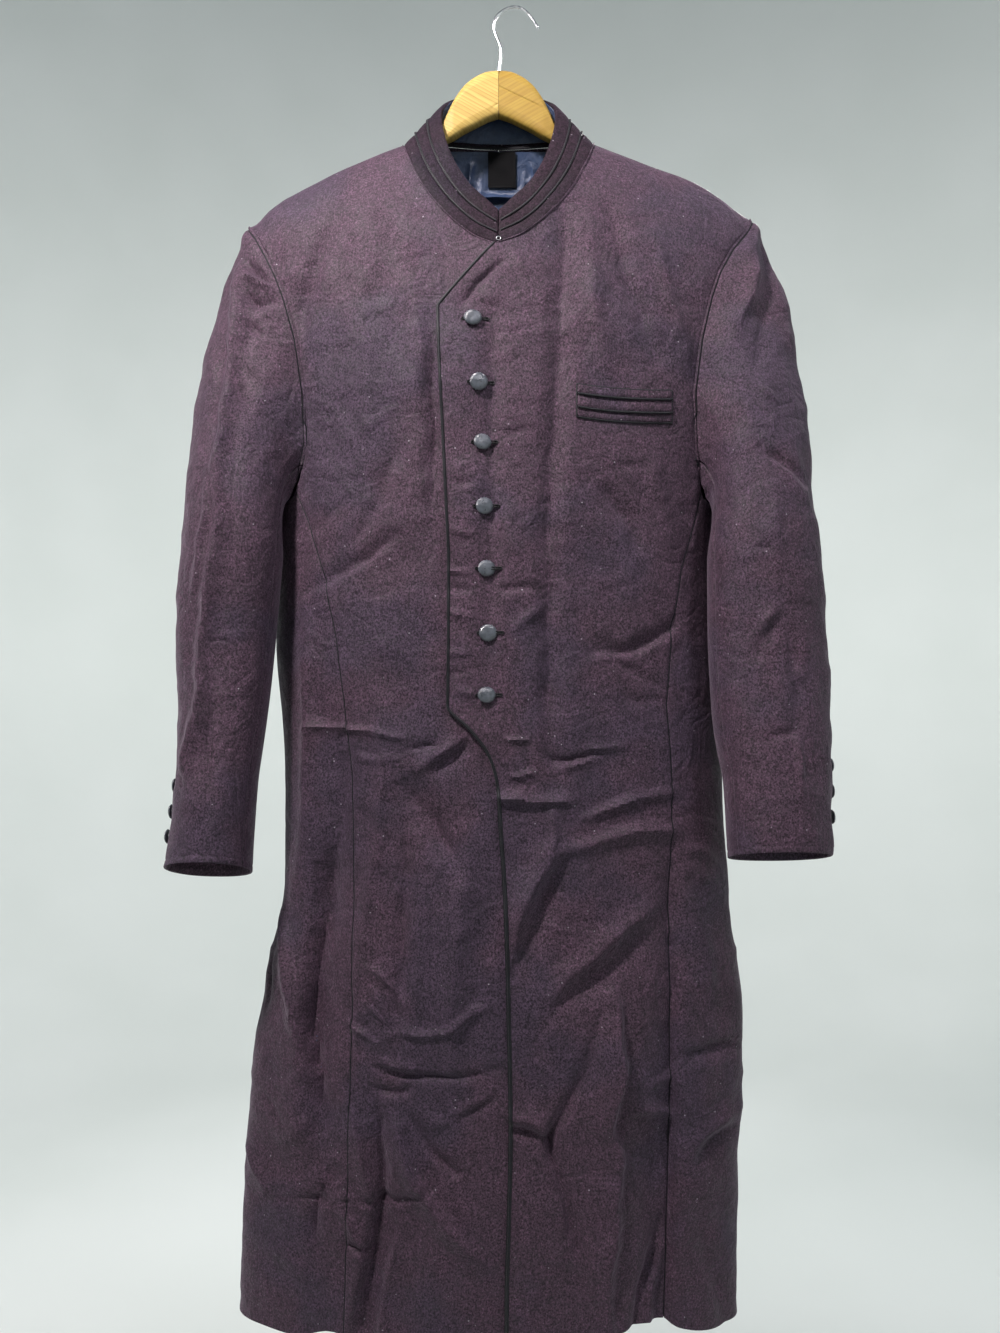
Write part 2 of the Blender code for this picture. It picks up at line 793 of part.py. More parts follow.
def collar_line(at, share):
    """A line round the collar at a share of its height, front to front."""
    at = np.asarray(at, float)
    half = np.where(at <= 11, at, 22 - at)
    side = np.where(at <= 11, -1.0, 1.0)
    low = np.array([neck_seam(h, s) for h, s in zip(half, side)])
    top = np.stack(
        [CENTRE_X + side * COLLAR.at("top_x", half), COLLAR.at("top_y", half), COLLAR.at("top_z", half)],
        -1,
    )
    rise = top - low
    low = low + rise / np.linalg.norm(rise, axis=-1, keepdims=True) * 1.25
    return low + (top - low) * share


COLLAR_AT = np.array([0, 0.75, 1.5, 3, 4.5, 5.8, 7, 7.6, 8, 8.6, 9.5, 10.5, 11])
COLLAR_AT = np.concatenate([COLLAR_AT, 22 - COLLAR_AT[-2::-1]])


def collar_grid(shares, out=0.0):
    """Collar rows from its top edge down, moved out along its normal."""
    grid = np.array([collar_line(COLLAR_AT, share) for share in shares])
    if out:
        along = np.gradient(grid, axis=1)
        down = np.gradient(grid, axis=0)
        n = np.cross(along, down)
        n /= np.linalg.norm(n, axis=-1, keepdims=True)
        grid = grid + n * out
    return grid


def collar_pieces(made, lining, satin):
    shares = [1, 0.75, 0.5, 0.25, 0]
    cloth("collar", collar_grid(shares), made, COLLAR_WALL, flip=True)
    inner = collar_grid([0.96, 0.5, 0.04], -(COLLAR_WALL + 1.05))
    cloth("collar_facing", inner, lining, LINING_WALL, flip=True)
    fine = [0.9, 0.6, 0.3]
    rows = collar_grid(fine, PIPING_R + 0.65)
    for name, row in (("collar_piping_upper", rows[1]), ("collar_piping_lower", rows[2])):
        tube(name, row[:, :], PIPING_R, satin)


def hanger_arm(name, side, made):
    """Half of the hanger: sections with bevelled edges from middle to tip."""
    table = Table(
        "x top bottom thick",
        [
            (0, -59.5, -102.5, 15),
            (10, -60.5, -106, 15),
            (21, -65, -111.5, 15),
            (32, -73.5, -117, 15),
            (41, -86, -122.5, 15),
            (48, -99.5, -126, 13),
            (52, -109, -128.5, 12),
            (56, -115, -132, 12),
            (75, -132, -144, 11),
            (92, -147, -158, 11),
            (130, -158, -178, 14),
            (165, -171.5, -194, 17),
            (190, -186, -207, 18),
            (206, -197.5, -215, 18),
        ],
    )
    bevel = [(1, 0.6), (0.5, 1), (-0.5, 1), (-1, 0.6), (-1, -0.66), (-0.7, -1), (0.7, -1), (1, -0.66)]
    rings = []
    reach = 206 if side > 0 else 208
    for x in [0.15, 10, 21, 32, 41, 48, 52, 56, 75, 92, 130, 165, 190, reach]:
        top, bottom, thick = (float(table.at(k, x)) for k in ("top", "bottom", "thick"))
        tilt = 3.0 * x / 206 if side > 0 else -0.5 * x / 206
        mid, half = (top + bottom) / 2 + tilt, (top - bottom) / 2
        shrink = 0.8 if x == reach else 1.0
        rings.append(
            [(CENTRE_X + side * x, RIDGE_Y - 3 + v * thick / 2 * shrink, mid + w * half * shrink) for v, w in bevel]
        )
    mesh = bpy.data.meshes.new(name)
    n = len(bevel)
    points = [p for ring in rings for p in ring]
    faces = []
    for i in range(len(rings) - 1):
        for j in range(n):
            faces.append([i * n + j, i * n + (j + 1) % n, (i + 1) * n + (j + 1) % n, (i + 1) * n + j])
    faces.append(list(range(n))[::-1])
    faces.append([(len(rings) - 1) * n + j for j in range(n)])
    if side < 0:
        faces = [f[::-1] for f in faces]
    mesh.from_pydata([tuple(np.array(p) * MM) for p in points], [], faces)
    made_mesh = bmesh.new()
    made_mesh.from_mesh(mesh)
    bmesh.ops.recalc_face_normals(made_mesh, faces=made_mesh.faces)
    made_mesh.to_mesh(mesh)
    made_mesh.free()
    return place(bpy.data.objects.new(name, mesh), made)


def hook_line():
    """The wire: straight stem, a small bend, and an open round hook."""
    stem = Table(
        "at x z",
        [
            (0, -15.0, -59.0),
            (1, -13.2, -46.5),
            (2, -12.9, -39.0),
            (3, -14.8, -31.8),
            (4, -17.9, -24.6),
            (5, -19.6, -17.6),
            (6, -18.9, -11.6),
            (7, -15.8, -6.4),
            (8, -11.0, -2.4),
            (9, -5.6, 0.3),
            (10, 0.0, 1.4),
            (11, 5.6, 0.4),
            (12, 10.8, -3.0),
            (13, 15.4, -8.2),
            (14, 19.0, -13.6),
            (15, 22.6, -19.2),
        ],
    )
    at = np.linspace(0, 15, 32)
    return np.stack([stem.at("x", at), np.zeros_like(at), stem.at("z", at)], 1)


# ------------------------------------------------------------------------ build
for leftover in list(bpy.data.objects):
    bpy.data.objects.remove(leftover, do_unlink=True)

PARTS = bpy.data.collections.new("sherwani_coat")
bpy.context.scene.collection.children.link(PARTS)

WOOL = {
    name: material(f"{name}_wool", (0.065, 0.047, 0.062), 0.85)
    for name in (
        "front_left", "front_right", "side_left", "side_right", "back_left",
        "back_right", "sleeve_left", "sleeve_right", "collar", "welt",
    )
}  # fmt: skip
SATIN = material("black_satin", (0.012, 0.012, 0.015), 0.35)
BUTTON = material("button_satin", (0.02, 0.022, 0.028), 0.32)
LINING = material("lining_satin", (0.10, 0.13, 0.24), 0.4)
LABEL = material("label_weave", (0.012, 0.012, 0.014), 0.7)
WOOD = material("hanger_wood", (0.72, 0.50, 0.22), 0.5)
STEEL = material("hook_steel", (0.75, 0.76, 0.78), 0.22, 1.0)

for side_name, word in (("l", "left"), ("r", "right")):
    front = front_panel(side_name, WOOL[f"front_{word}"])[0]
    back = back_panel(side_name, WOOL[f"back_{word}"])[0]
    under = side_panel(side_name, WOOL[f"side_{word}"])[0]
    sleeve(side_name, armhole_loop(front, under, back, side_name), WOOL[f"sleeve_{word}"])
collar_pieces(WOOL["collar"], LINING, SATIN)

# lining of the upper back, under the neck seam
rows_z = np.array([-3.5, -20, -45, -80, -125, -175, -225])
span = np.linspace(1, -1, 11)
lining = []
for drop in rows_z:
    half = 66 + 26 * smooth(-drop / 90)
    x = CENTRE_X + half * span
    at = 11 - 3 * np.abs(span)
    z = COLLAR.at("low_z", 11 - 2.0 * np.abs(span)) + drop
    lining.append(surface(back_y, x, z, -(CLOTH + 1.5) * np.ones(len(x))))
cloth("lining_back", np.array(lining), LINING, LINING_WALL)

# bare neck label lying on the lining
label_x = np.linspace(2.0, -25.5, 4)
label_z = np.linspace(-121.8, -153, 5)
label = [
    surface(back_y, label_x, np.full(4, z), -(CLOTH + LINING_WALL + 2.4) * np.ones(4))
    for z in label_z
]
cloth("neck_label", np.array(label), LABEL, 0.6)

# piping along the shaped edge of the over front
edge_z = np.array([z for z in np.concatenate([
    [-243, -258, -275, -288, -296, -299.6, -304], np.linspace(-315, -640, 11),
    [-650, -654, -657.5, -661, -668, -678, -690, -704, -720, -740, -771, -807, -851],
    np.linspace(-890, -1212, 8),
])])  # fmt: skip
edge_x = FRONT_EDGE.straight("over", edge_z)
edge = surface(front_y, edge_x, edge_z, OVERLAP_RISE - 0.9)
flat = np.gradient(edge[:, [0, 2]], axis=0)
away = np.stack([flat[:, 1], -flat[:, 0]], 1)
away /= np.linalg.norm(away, axis=1, keepdims=True)
edge[:, 0] += away[:, 0] * (PIPING_R + 0.45)
edge[:, 2] += away[:, 1] * (PIPING_R + 0.45)
tube("front_edge_piping", edge, PIPING_R, SATIN)

# covered buttons down the front
FRONT_BUTTONS = Table(
    "number x z",
    [
        (1, -37.7, -312.2),
        (2, -32.6, -368.5),
        (3, -29.4, -420.9),
        (4, -27.7, -477.2),
        (5, -25.9, -531.9),
        (6, -24.2, -588.6),
        (7, -25.7, -643.6),
    ],
)
for number, x, z in FRONT_BUTTONS.rows:
    low = surface(front_y, x, z, float(over_rise(x, z)))
    high = surface(front_y, x, z, float(over_rise(x, z)) + 1)
    button(f"button_front_{int(number)}", low, high - low, BUTTON_R, BUTTON_H, BUTTON)

# three covered buttons up the outside of each cuff
CUFF_BUTTONS = Table("number right left", [(1, -725.5, -707.4), (2, -748.3, -730), (3, -770.2, -752.9)])
for side_name, column, word in (("r", "right", "right"), ("l", "left", "left")):
    table = SLEEVE_R if side_name == "r" else SLEEVE_L
    side = SIDE[side_name]
    for number in (1, 2, 3):
        z = float(CUFF_BUTTONS.at(column, number))
        on = sleeve_ring(table, z, 0.99, side)
        button(
            f"button_cuff_{word}_{number}",
            on + np.array([side * 0.4, 0, 0]),
            (side, 0.05, 0.02 * side),
            CUFF_BUTTON_R,
            CUFF_BUTTON_H,
            BUTTON,
        )

# welted chest pocket with two rows of piping
pocket_x = np.linspace(54.5, 141, 9)
sag = 2.6 * (1 - ((pocket_x - 97.7) / 43.2) ** 2)


def pocket_row(z, out):
    height = z + 4.7 - sag
    return surface(front_y, pocket_x, height, over_rise(pocket_x, height) + out)


welt = np.array([pocket_row(z, 0.35 + WELT_WALL) for z in (-374.5, -384, -393, -402.5)])
cloth("pocket_welt", welt, WOOL["welt"], WELT_WALL, gap=0)
for name, z in (("pocket_piping_upper", -382.5), ("pocket_piping_lower", -394.5)):
    tube(name, pocket_row(z, 0.35 + WELT_WALL + 0.3 + 0.9), 0.9, SATIN)

# hook and eye that closes the collar's corners
hook_at = collar_line(np.array([22.0]), 0.06)[0]
hook_at = np.array([CENTRE_X, hook_at[1] - 1.2, hook_at[2]])
ring = [
    hook_at + np.array([2.2 * math.cos(a), 0, 1.6 * math.sin(a)])
    for a in np.linspace(0, 2 * math.pi, 17)[:-1]
]
tube("collar_hook_and_eye", ring, 0.5, STEEL, cyclic=True)

# hanger
hanger_arm("hanger_arm_left", 1, WOOD)
hanger_arm("hanger_arm_right", -1, WOOD)
tube("hanger_hook", hook_line(), WIRE_R, STEEL)

bpy.context.view_layer.update()
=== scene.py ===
"""Looks of the sherwani coat on its wooden hanger.

Works in millimetres on the same form of the hanging coat as the CAD, and turns
to metres as meshes are made. +Z up, -Y the coat's front, +X the wearer's left.
Every cloth piece is a thin double-walled shell: the CAD solid's own shape, drawn
finely, with the creases of the tables below laid on it.
"""

import json
import math

import bpy
import numpy as np
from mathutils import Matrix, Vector

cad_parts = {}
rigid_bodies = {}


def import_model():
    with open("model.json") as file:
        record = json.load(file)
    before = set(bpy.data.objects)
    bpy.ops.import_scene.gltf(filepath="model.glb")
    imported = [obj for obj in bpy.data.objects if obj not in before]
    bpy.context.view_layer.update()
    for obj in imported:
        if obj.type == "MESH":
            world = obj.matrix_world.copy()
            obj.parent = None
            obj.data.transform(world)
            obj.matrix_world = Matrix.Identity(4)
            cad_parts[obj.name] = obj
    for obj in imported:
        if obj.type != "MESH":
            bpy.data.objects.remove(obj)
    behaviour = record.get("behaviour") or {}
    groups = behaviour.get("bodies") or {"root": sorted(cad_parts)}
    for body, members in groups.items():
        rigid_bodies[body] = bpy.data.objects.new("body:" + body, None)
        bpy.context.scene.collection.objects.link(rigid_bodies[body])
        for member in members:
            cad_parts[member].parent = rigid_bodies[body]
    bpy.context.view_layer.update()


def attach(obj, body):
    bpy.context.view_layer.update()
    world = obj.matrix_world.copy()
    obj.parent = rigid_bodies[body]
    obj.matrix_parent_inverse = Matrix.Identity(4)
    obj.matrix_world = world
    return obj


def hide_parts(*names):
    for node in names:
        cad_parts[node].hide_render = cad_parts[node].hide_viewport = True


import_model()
MM = 0.001
SCENE = bpy.context.scene

# ---------------------------------------------------------------- camera first
camera = bpy.data.objects.new("camera", bpy.data.cameras.new("camera"))
SCENE.collection.objects.link(camera)
camera.location = (-0.0136, -0.943, -0.6185)
camera.rotation_euler = (math.radians(90), 0, 0)
camera.data.lens = 27.09
camera.data.sensor_width = 36
camera.data.sensor_fit = "AUTO"
camera.data.clip_start = 0.02
SCENE.camera = camera

# ---------------------------------------------------------------- named sizes
CLOTH = 1.8  # wall of the outer cloth
COLLAR_WALL = 2.4
LINING_WALL = 0.8
WELT_WALL = 1.2
SEAM = 0.2  # each piece stops this far short of its seam line
CENTRE_X = -15.0  # middle of neck and hanger

RIDGE_Y = 3.0  # shoulder line, front to back
FRONT_ROUND = 120.0  # height over which the front rolls over the shoulder
BACK_ROUND = 85.0
FRONT_P, FRONT_Q = 2.4, 1.9  # fullness of the front's section
BACK_P, BACK_Q = 3.2, 2.0

UNDERARM_Z = -455.0
UNDERARM_DIP = 15.0
OVERLAP_RISE = 2.6  # the over front lies this far proud of the form
OVERLAP_SINK = 1.2  # the under front lies this far inside it

PIPING_R = 1.0
BUTTON_R, BUTTON_H = 8.0, 4.6
CUFF_BUTTON_R, CUFF_BUTTON_H = 6.6, 3.8
WIRE_R = 1.4
ARM_THICK = 15.0


class Table:
    """A short table with named columns; at() reads a column smoothly by height."""

    def __init__(self, columns, rows, key=0):
        self.names = columns.split()
        self.rows = np.array(sorted(rows, key=lambda row: row[key]), float)
        self.key = key

    def at(self, name, where):
        x = self.rows[:, self.key]
        y = self.rows[:, self.names.index(name)]
        h = np.diff(x)
        d = np.diff(y) / h
        m = np.zeros(len(x))
        m[0], m[-1] = d[0], d[-1]
        for i in range(1, len(x) - 1):
            if d[i - 1] * d[i] > 0:
                w1, w2 = 2 * h[i] + h[i - 1], h[i] + 2 * h[i - 1]
                m[i] = (w1 + w2) / (w1 / d[i - 1] + w2 / d[i])
        q = np.clip(np.asarray(where, float), x[0], x[-1])
        i = np.clip(np.searchsorted(x, q, side="right") - 1, 0, len(x) - 2)
        t = (q - x[i]) / h[i]
        return (
            (1 + 2 * t) * (1 - t) ** 2 * y[i]
            + t * (1 - t) ** 2 * h[i] * m[i]
            + t * t * (3 - 2 * t) * y[i + 1]
            + t * t * (t - 1) * h[i] * m[i + 1]
        )

    def straight(self, name, where):
        return np.interp(
            where, self.rows[:, self.key], self.rows[:, self.names.index(name)]
        )


# sections of the coat: outline to each side, depth of front and back, and how
# far back the widest point of each side lies
BODY = Table(
    "z left right front back side",
    [
        (-110, -300, 270, -42, 36, 8),
        (-200, -298, 268, -47, 40, 8),
        (-250, -276, 244, -51, 43, 12),
        (-300, -257, 227, -56, 46, 18),
        (-368, -240, 208, -60, 48, 26),
        (-455, -230, 197, -60, 48, 30),
        (-520, -229, 195, -58, 47, 29),
        (-595, -228.5, 196, -56, 45, 24),
        (-670, -221.5, 197, -54, 43, 18),
        (-740, -218, 198, -53, 42, 14),
        (-804, -217, 201, -53, 43, 10),
        (-840, -218.5, 202.5, -54, 44, 9),
        (-865, -225, 206, -54, 45, 8),
        (-890, -232, 211, -55, 46, 8),
        (-942, -242, 216.5, -56, 47, 8),
        (-992, -249, 217, -56, 48, 8),
        (-1060, -253.5, 214.5, -57, 49, 8),
        (-1146, -257.6, 212.5, -57, 51, 8),
        (-1240, -261.5, 210, -58, 53, 8),
    ],
)

# top of the shoulder line along the coat
SHOULDER = Table(
    "x z",
    [
        (-262, -213),
        (-250, -205.5),
        (-244, -203.5),
        (-230, -190),
        (-209, -176.5),
        (-178.6, -160.5),
        (-139.6, -143.5),
        (-104, -129.5),
        (-60, -112),
        (-15, -98),
        (30, -111),
        (74, -128),
        (115, -144),
        (167, -163.5),
        (192.6, -178.5),
        (214, -194.5),
        (221, -198),
        (233, -205),
    ],
)

# the armhole's edge on front and back, right and left of the wearer
ARMHOLE = Table(
    "z front_r front_l back_r back_l",
    [
        (-208, -249, 221, -249, 221),
        (-223, -238, 208, -240, 211),
        (-240, -229, 196, -233, 203),
        (-262, -218, 185, -226, 196),
        (-300, -205, 174, -216, 186),
        (-340, -196, 166.5, -208, 178),
        (-368, -193, 164, -205, 175),
        (-395, -191, 165, -205, 175),
        (-420, -193, 168, -207, 177),
        (-443, -198, 171.5, -211, 181),
        (-455, -203, 173.5, -214, 184),
    ],
)

# long seams below the armhole: princess seam in front, side seam behind
SEAMS = Table(
    "z princess_r princess_l rear_r rear_l",
    [
        (-455, -203, 173.5, -214, 184),
        (-478, -193, 168.5, -211, 180),
        (-523, -177, 154, -206, 174),
        (-562, -168, 147, -203, 170),
        (-608, -159.5, 140, -199, 167),
        (-654, -154, 137.5, -195, 165),
        (-700, -150, 141, -192, 164),
        (-744, -147, 142.2, -191, 165),
        (-860, -146, 142, -196, 172),
        (-1010, -148, 141.8, -214, 180),
        (-1091, -150, 137, -220, 180),
        (-1240, -153, 133.5, -225, 178),
    ],
)

# the shaped edge of the over front, and the hidden edge of the under front
FRONT_EDGE = Table(
    "z over under",
    [
        (-241, -16, -15),
        (-258, -32, 2),
        (-299.6, -67.4, 6),
        (-343, -66, 7),
        (-515, -57.6, 8),
        (-596, -57.8, 9),
        (-654, -58.6, 11),
        (-661, -53.2, 13),
        (-668, -44.6, 15),
        (-678, -35.2, 18),
        (-690, -25.8, 21),
        (-704, -19.3, 24),
        (-720, -15.0, 26),
        (-740, -12.6, 28),
        (-771, -10.6, 30),
        (-807, -8, 32),
        (-851, -6, 34),
        (-923, -4, 35),
        (-1029, -2.2, 36),
        (-1109, -3.8, 35),
        (-1172, -5.6, 34),
        (-1240, -5.8, 34),
    ],
)

# half of the stand collar from its front corner to the middle of the back:
# its seam and its top edge, measured from the collar's middle
COLLAR = Table(
    "at low_x low_z top_x top_y top_z",
    [
        (0, 1.0, -241, 1.6, -40, -205.5),
        (1, 20, -234, 13, -39.5, -194.5),
        (2, 34, -224, 24, -37.5, -184),
        (3, 47, -211.5, 35, -34, -168),
        (4, 60.5, -195.5, 44, -28, -148.5),
        (5, 72, -177, 49.5, -20, -129),
        (6, 79, -161, 52.5, -12, -114),
        (7, 85, -144.5, 53.5, -4, -98),
        (8, 89, -129.5, 52, 4, -87),
        (9, 75, -124.5, 43, 11, -79.5),
        (10, 50, -121.5, 27, 14.5, -76.5),
        (11, 0, -120, 0, 16, -75.5),
    ],
)

# sleeves: outline away from and beside the body, middle and half depth, and how
# much higher the front of each ring is than its middle
SLEEVE_R = Table(
    "z outer inner mid half rise",
    [
        (-504, -301.8, -211.5, -28, 46, 0),
        (-549, -303.2, -215.4, -28, 46, 1),
        (-587, -304.4, -218.8, -28, 45.5, 2),
        (-631, -303.4, -222.5, -31, 44.5, 4),
        (-671, -302.0, -226.5, -36, 43.5, 7),
        (-694, -301.6, -229.3, -39, 43, 9),
        (-719, -301.6, -232.0, -43, 42.5, 10),
        (-738, -303.0, -232.9, -46, 42.2, 11.5),
        (-758, -305.0, -233.8, -48, 42, 13),
        (-780, -308.0, -234.7, -50, 41.5, 14),
        (-799.5, -310.6, -235.0, -52, 41, 14.5),
    ],
)
SLEEVE_L = Table(
    "z outer inner mid half rise",
    [
        (-504, 275.6, 176.5, -28, 46, 0),
        (-549, 279.9, 176.5, -28, 46, 1),
        (-587, 281.8, 176.8, -28, 45.5, 2),
        (-631, 282.4, 178.0, -31, 44.5, 4),
        (-671, 281.6, 180.0, -36, 43.5, 7),
        (-694, 280.8, 183.2, -39, 43, 8),
        (-719, 280.4, 187.3, -43, 42.5, 9),
        (-738, 280.0, 188.2, -46, 42.2, 10),
        (-758, 279.8, 188.9, -48, 42, 11),
        (-776, 279.8, 189.5, -50, 41.5, 11.5),
        (-788, 279.8, 189.8, -51.5, 41, 11.5),
    ],
)

# largest folds of the skirts: a trough (negative) or a ridge from one end to
# the other, its half width and its height
FOLDS = (
    "x0 z0 x1 z1 half height",
    [
        (-160, -770, -178, -1000, 22, -7),
        (-197, -860, -200, -1080, 20, 5),
        (-95, -1085, -122, -1240, 20, -6),
        (-66, -1090, -60, -1240, 30, 4),
        (86, -900, 88, -1225, 24, 4),
        (118, -1000, 128, -1240, 14, -6),
        (165, -860, 172, -1180, 24, 3),
        (-60, -750, -110, -1000, 30, 3),
        (40, -870, 20, -1200, 30, 3),
    ],
)
BACK_FOLDS = (
    "x0 z0 x1 z1 half height",
    [
        (-120, -780, -150, -1240, 30, -7),
        (-70, -820, -80, -1240, 28, 5),
        (30, -800, 36, -1240, 30, 5),
        (95, -780, 112, -1240, 28, -7),
    ],
)

# hem height across the front
HEM = Table(
    "x z",
    [
        (-262, -1224),
        (-230, -1221),
        (-200, -1222),
        (-165, -1213),
        (-130, -1217),
        (-50, -1218),
        (-8, -1213),
        (30, -1215),
        (80, -1212),
        (115, -1207),
        (134, -1209),
        (148, -1215),
        (175, -1222),
        (212, -1228),
    ],
)


# ------------------------------------------------------------- form of the coat
def fold_lift(folds, x, z):
    """Sum of the folds at a place: each is a soft ridge along a straight line."""
    names, rows = folds
    lift = np.zeros(np.broadcast(x, z).shape)
    for x0, z0, x1, z1, half, height in rows:
        along = np.array([x1 - x0, z1 - z0], float)
        length = np.hypot(*along)
        along /= length
        u = ((x - x0) * along[0] + (z - z0) * along[1]) / length
        across = (x - x0) * -along[1] + (z - z0) * along[0]
        ends = np.clip(u / 0.25, 0, 1) if z1 < -1100 else np.clip(u / 0.25, 0, 1) * np.clip((1 - u) / 0.25, 0, 1)
        ends = ends * ends * (3 - 2 * ends)
        lift = lift + height * ends * np.exp(-((across / half) ** 2))
    return lift


def front_y(x, z):
    x, z = np.asarray(x, float), np.asarray(z, float)
    left, right = BODY.at("left", z), BODY.at("right", z)
    front, side = BODY.at("front", z), BODY.at("side", z)
    t = np.clip(np.abs(x - (left + right) / 2) / ((right - left) / 2), 0, 1)
    full = (1 - t**FRONT_P) ** (1 / FRONT_Q)
    y = side - (side - front) * full - fold_lift(FOLDS, x, z) * np.minimum(1, 1.6 * full)
    drop = np.clip((SHOULDER.at("z", x) - z) / FRONT_ROUND, 0, 1)
    return RIDGE_Y + (y - RIDGE_Y) * np.sqrt(1 - (1 - drop) ** 2)


def back_y(x, z):
    x, z = np.asarray(x, float), np.asarray(z, float)
    left, right = BODY.at("left", z), BODY.at("right", z)
    back, side = BODY.at("back", z), BODY.at("side", z)
    t = np.clip(np.abs(x - (left + right) / 2) / ((right - left) / 2), 0, 1)
    full = (1 - t**BACK_P) ** (1 / BACK_Q)
    y = side + (back - side) * full + fold_lift(BACK_FOLDS, x, z) * np.minimum(1, 1.6 * full)
    drop = np.clip((SHOULDER.at("z", x) - z) / BACK_ROUND, 0, 1)
    return RIDGE_Y + (y - RIDGE_Y) * np.sqrt(1 - (1 - drop) ** 2)


def surface(form, x, z, out=0.0):
    """Points on the front or back of the form, moved out along its normal."""
    x, z = np.broadcast_arrays(np.asarray(x, float), np.asarray(z, float))
    y = form(x, z)
    if not np.any(out):
        return np.stack([x, y, z], -1)
    e = 0.5
    dx = (form(x + e, z) - form(x - e, z)) / (2 * e)
    dz = (form(x, z + e) - form(x, z - e)) / (2 * e)
    n = np.stack([dx, -np.ones_like(dx), dz], -1)
    if form is back_y:
        n = -n
    n /= np.linalg.norm(n, axis=-1, keepdims=True)
    return np.stack([x, y, z], -1) + n * np.asarray(out)[..., None]


def smooth(t):
    t = np.clip(t, 0, 1)
    return t * t * (3 - 2 * t)


def under_sink(x):
    """The under front sinks a little as it nears the overlap."""
    return -OVERLAP_SINK * smooth((np.asarray(x, float) + 110) / 40)


def over_rise(x, z):
    """How far the over front stands proud, fading away past the hidden edge."""
    return OVERLAP_RISE * (1 - smooth((x - FRONT_EDGE.straight("under", z) - 6) / 60))


def inset(points, amount=SEAM, top=None):
    """Draws the four edges of a grid in by the seam gap."""
    p = points.copy()

    def toward(edge, inner, amount=amount):
        step = inner - edge
        size = np.linalg.norm(step, axis=-1, keepdims=True)
        return edge + step / size * np.minimum(amount, size * 0.4)

    p[0] = toward(p[0], p[1], amount if top is None else top)
    p[-1] = toward(p[-1], p[-2])
    p[:, 0], p[:, -1] = toward(p[:, 0], p[:, 1]), toward(p[:, -1], p[:, -2])
    return p

def run(points):
    """Share of a line's length reached at each of its points."""
    length = np.concatenate([[0], np.cumsum(np.linalg.norm(np.diff(points, axis=0), axis=1))])
    return length / length[-1]


def resample(points, at):
    where = run(points)
    return np.array([np.interp(at, where, points[:, k]) for k in range(3)])


# --------------------------------------------------------------------- the coat
# Levels of the cloth's rows. Above FREE_Z the rows bend up to the shoulder.
TOP_Z, FREE_Z, HEM_Z = -225.0, -420.0, -1215.0
LEVELS = [
    -225, -225.5, -229, -238, -254, -273, -292.9, -325, -370, -415, UNDERARM_Z,
    -485, -530, -590, -654, -720, -771, -820, -880, -940, -1000, -1060, -1109,
    -1165, HEM_Z,
]  # fmt: skip
EDGE_LEVELS = [-661, -668, -678, -690, -704, -740]  # the shaped edge's own curve


def hem_z(x, z):
    """Lowers the last rows onto the hem line."""
    share = np.clip((-1109 - z) / (-1109 - HEM_Z), 0, 1)
    return z + (HEM.at("z", x) - HEM_Z) * share


def neckline(at, side):
    """Seam of collar and coat, from 0 in front to 8 at the neck point to 11."""
    return CENTRE_X + side * COLLAR.at("low_x", at), COLLAR.at("low_z", at)


def panel_grid(form, levels, top, inner, outer, columns):
    """Rows of a front or back: neckline and shoulder above, hem below."""
    top_x = np.array([p[0] for p in top])
    top_z = np.array([p[1] for p in top])
    share_top = (top_x - top_x[0]) / (top_x[-1] - top_x[0])
    share_low = np.append(np.arange(columns - 1), columns - 2 + EDGE_STEP)
    share_low[-2:] = columns - 2 - EDGE_STEP, columns - 2
    share_low = share_low / share_low[-1]
    grid = []
    for level in levels:
        h = np.clip((level - FREE_Z) / (TOP_Z - FREE_Z), 0, 1) ** 2
        z = level + h * (top_z - TOP_Z)
        share = h * share_top + (1 - h) * share_low
        x = inner(z[0]) + (outer(z[-1]) - inner(z[0])) * share
        if level == levels[0]:
            x, z = top_x, top_z
        if level < -1109:
            z = hem_z(x, z)
        grid.append((x, z))
    x = np.array([g[0] for g in grid])
    z = np.array([g[1] for g in grid])
    return x, z


def top_line(side, neck_at, shoulder_steps, tip):
    """(x, z) along the neckline and then down the shoulder to its tip."""
    line = [tuple(map(float, neckline(at, side))) for at in neck_at]
    neck_x = line[-1][0]
    for k in [*range(1, shoulder_steps), shoulder_steps - EDGE_STEP, shoulder_steps]:
        x = neck_x + (tip - neck_x) * k / shoulder_steps
        line.append((x, float(SHOULDER.at("z", x))))
    return line


def outer_line(side_name, part):
    """The armhole's edge and the long seam under it as one line by height."""
    arm = f"{'front' if part == 'front' else 'back'}_{side_name}"
    seam = f"{'princess' if part == 'front' else 'rear'}_{side_name}"

    knots = np.array([level for level in LEVELS if level <= UNDERARM_Z])[::-1]
    straight = SEAMS.at(seam, knots)

    def line(z):
        if z >= UNDERARM_Z:
            return float(ARMHOLE.at(arm, z))
        return float(np.interp(z, knots, straight))

    return line


FRONT_NECK = [0, 1.5, 3, 4.5, 5.8, 7, 8]
BACK_NECK = [11, 10.5, 9.5, 8]
EDGE_STEP = 0.2  # the column beside a seam is narrow, so that both walls agree
TIP = {"r": -249.0, "l": 221.0}
SIDE = {"r": -1, "l": 1}

# ------------------------------------------------- coarse corners, as in the CAD
def front_corners(side_name):
    side = SIDE[side_name]
    over = side_name == "l"
    top = top_line(side, FRONT_NECK, 4, TIP[side_name])
    x, z = panel_grid(
        front_y,
        sorted(LEVELS + EDGE_LEVELS, reverse=True) if over else LEVELS,
        top,
        lambda h: float(FRONT_EDGE.straight("over" if over else "under", h)),
        outer_line(side_name, "front"),
        len(top),
    )
    points = surface(front_y, x, z, over_rise(x, z) if over else under_sink(x))
    return points if over else points[:, ::-1]


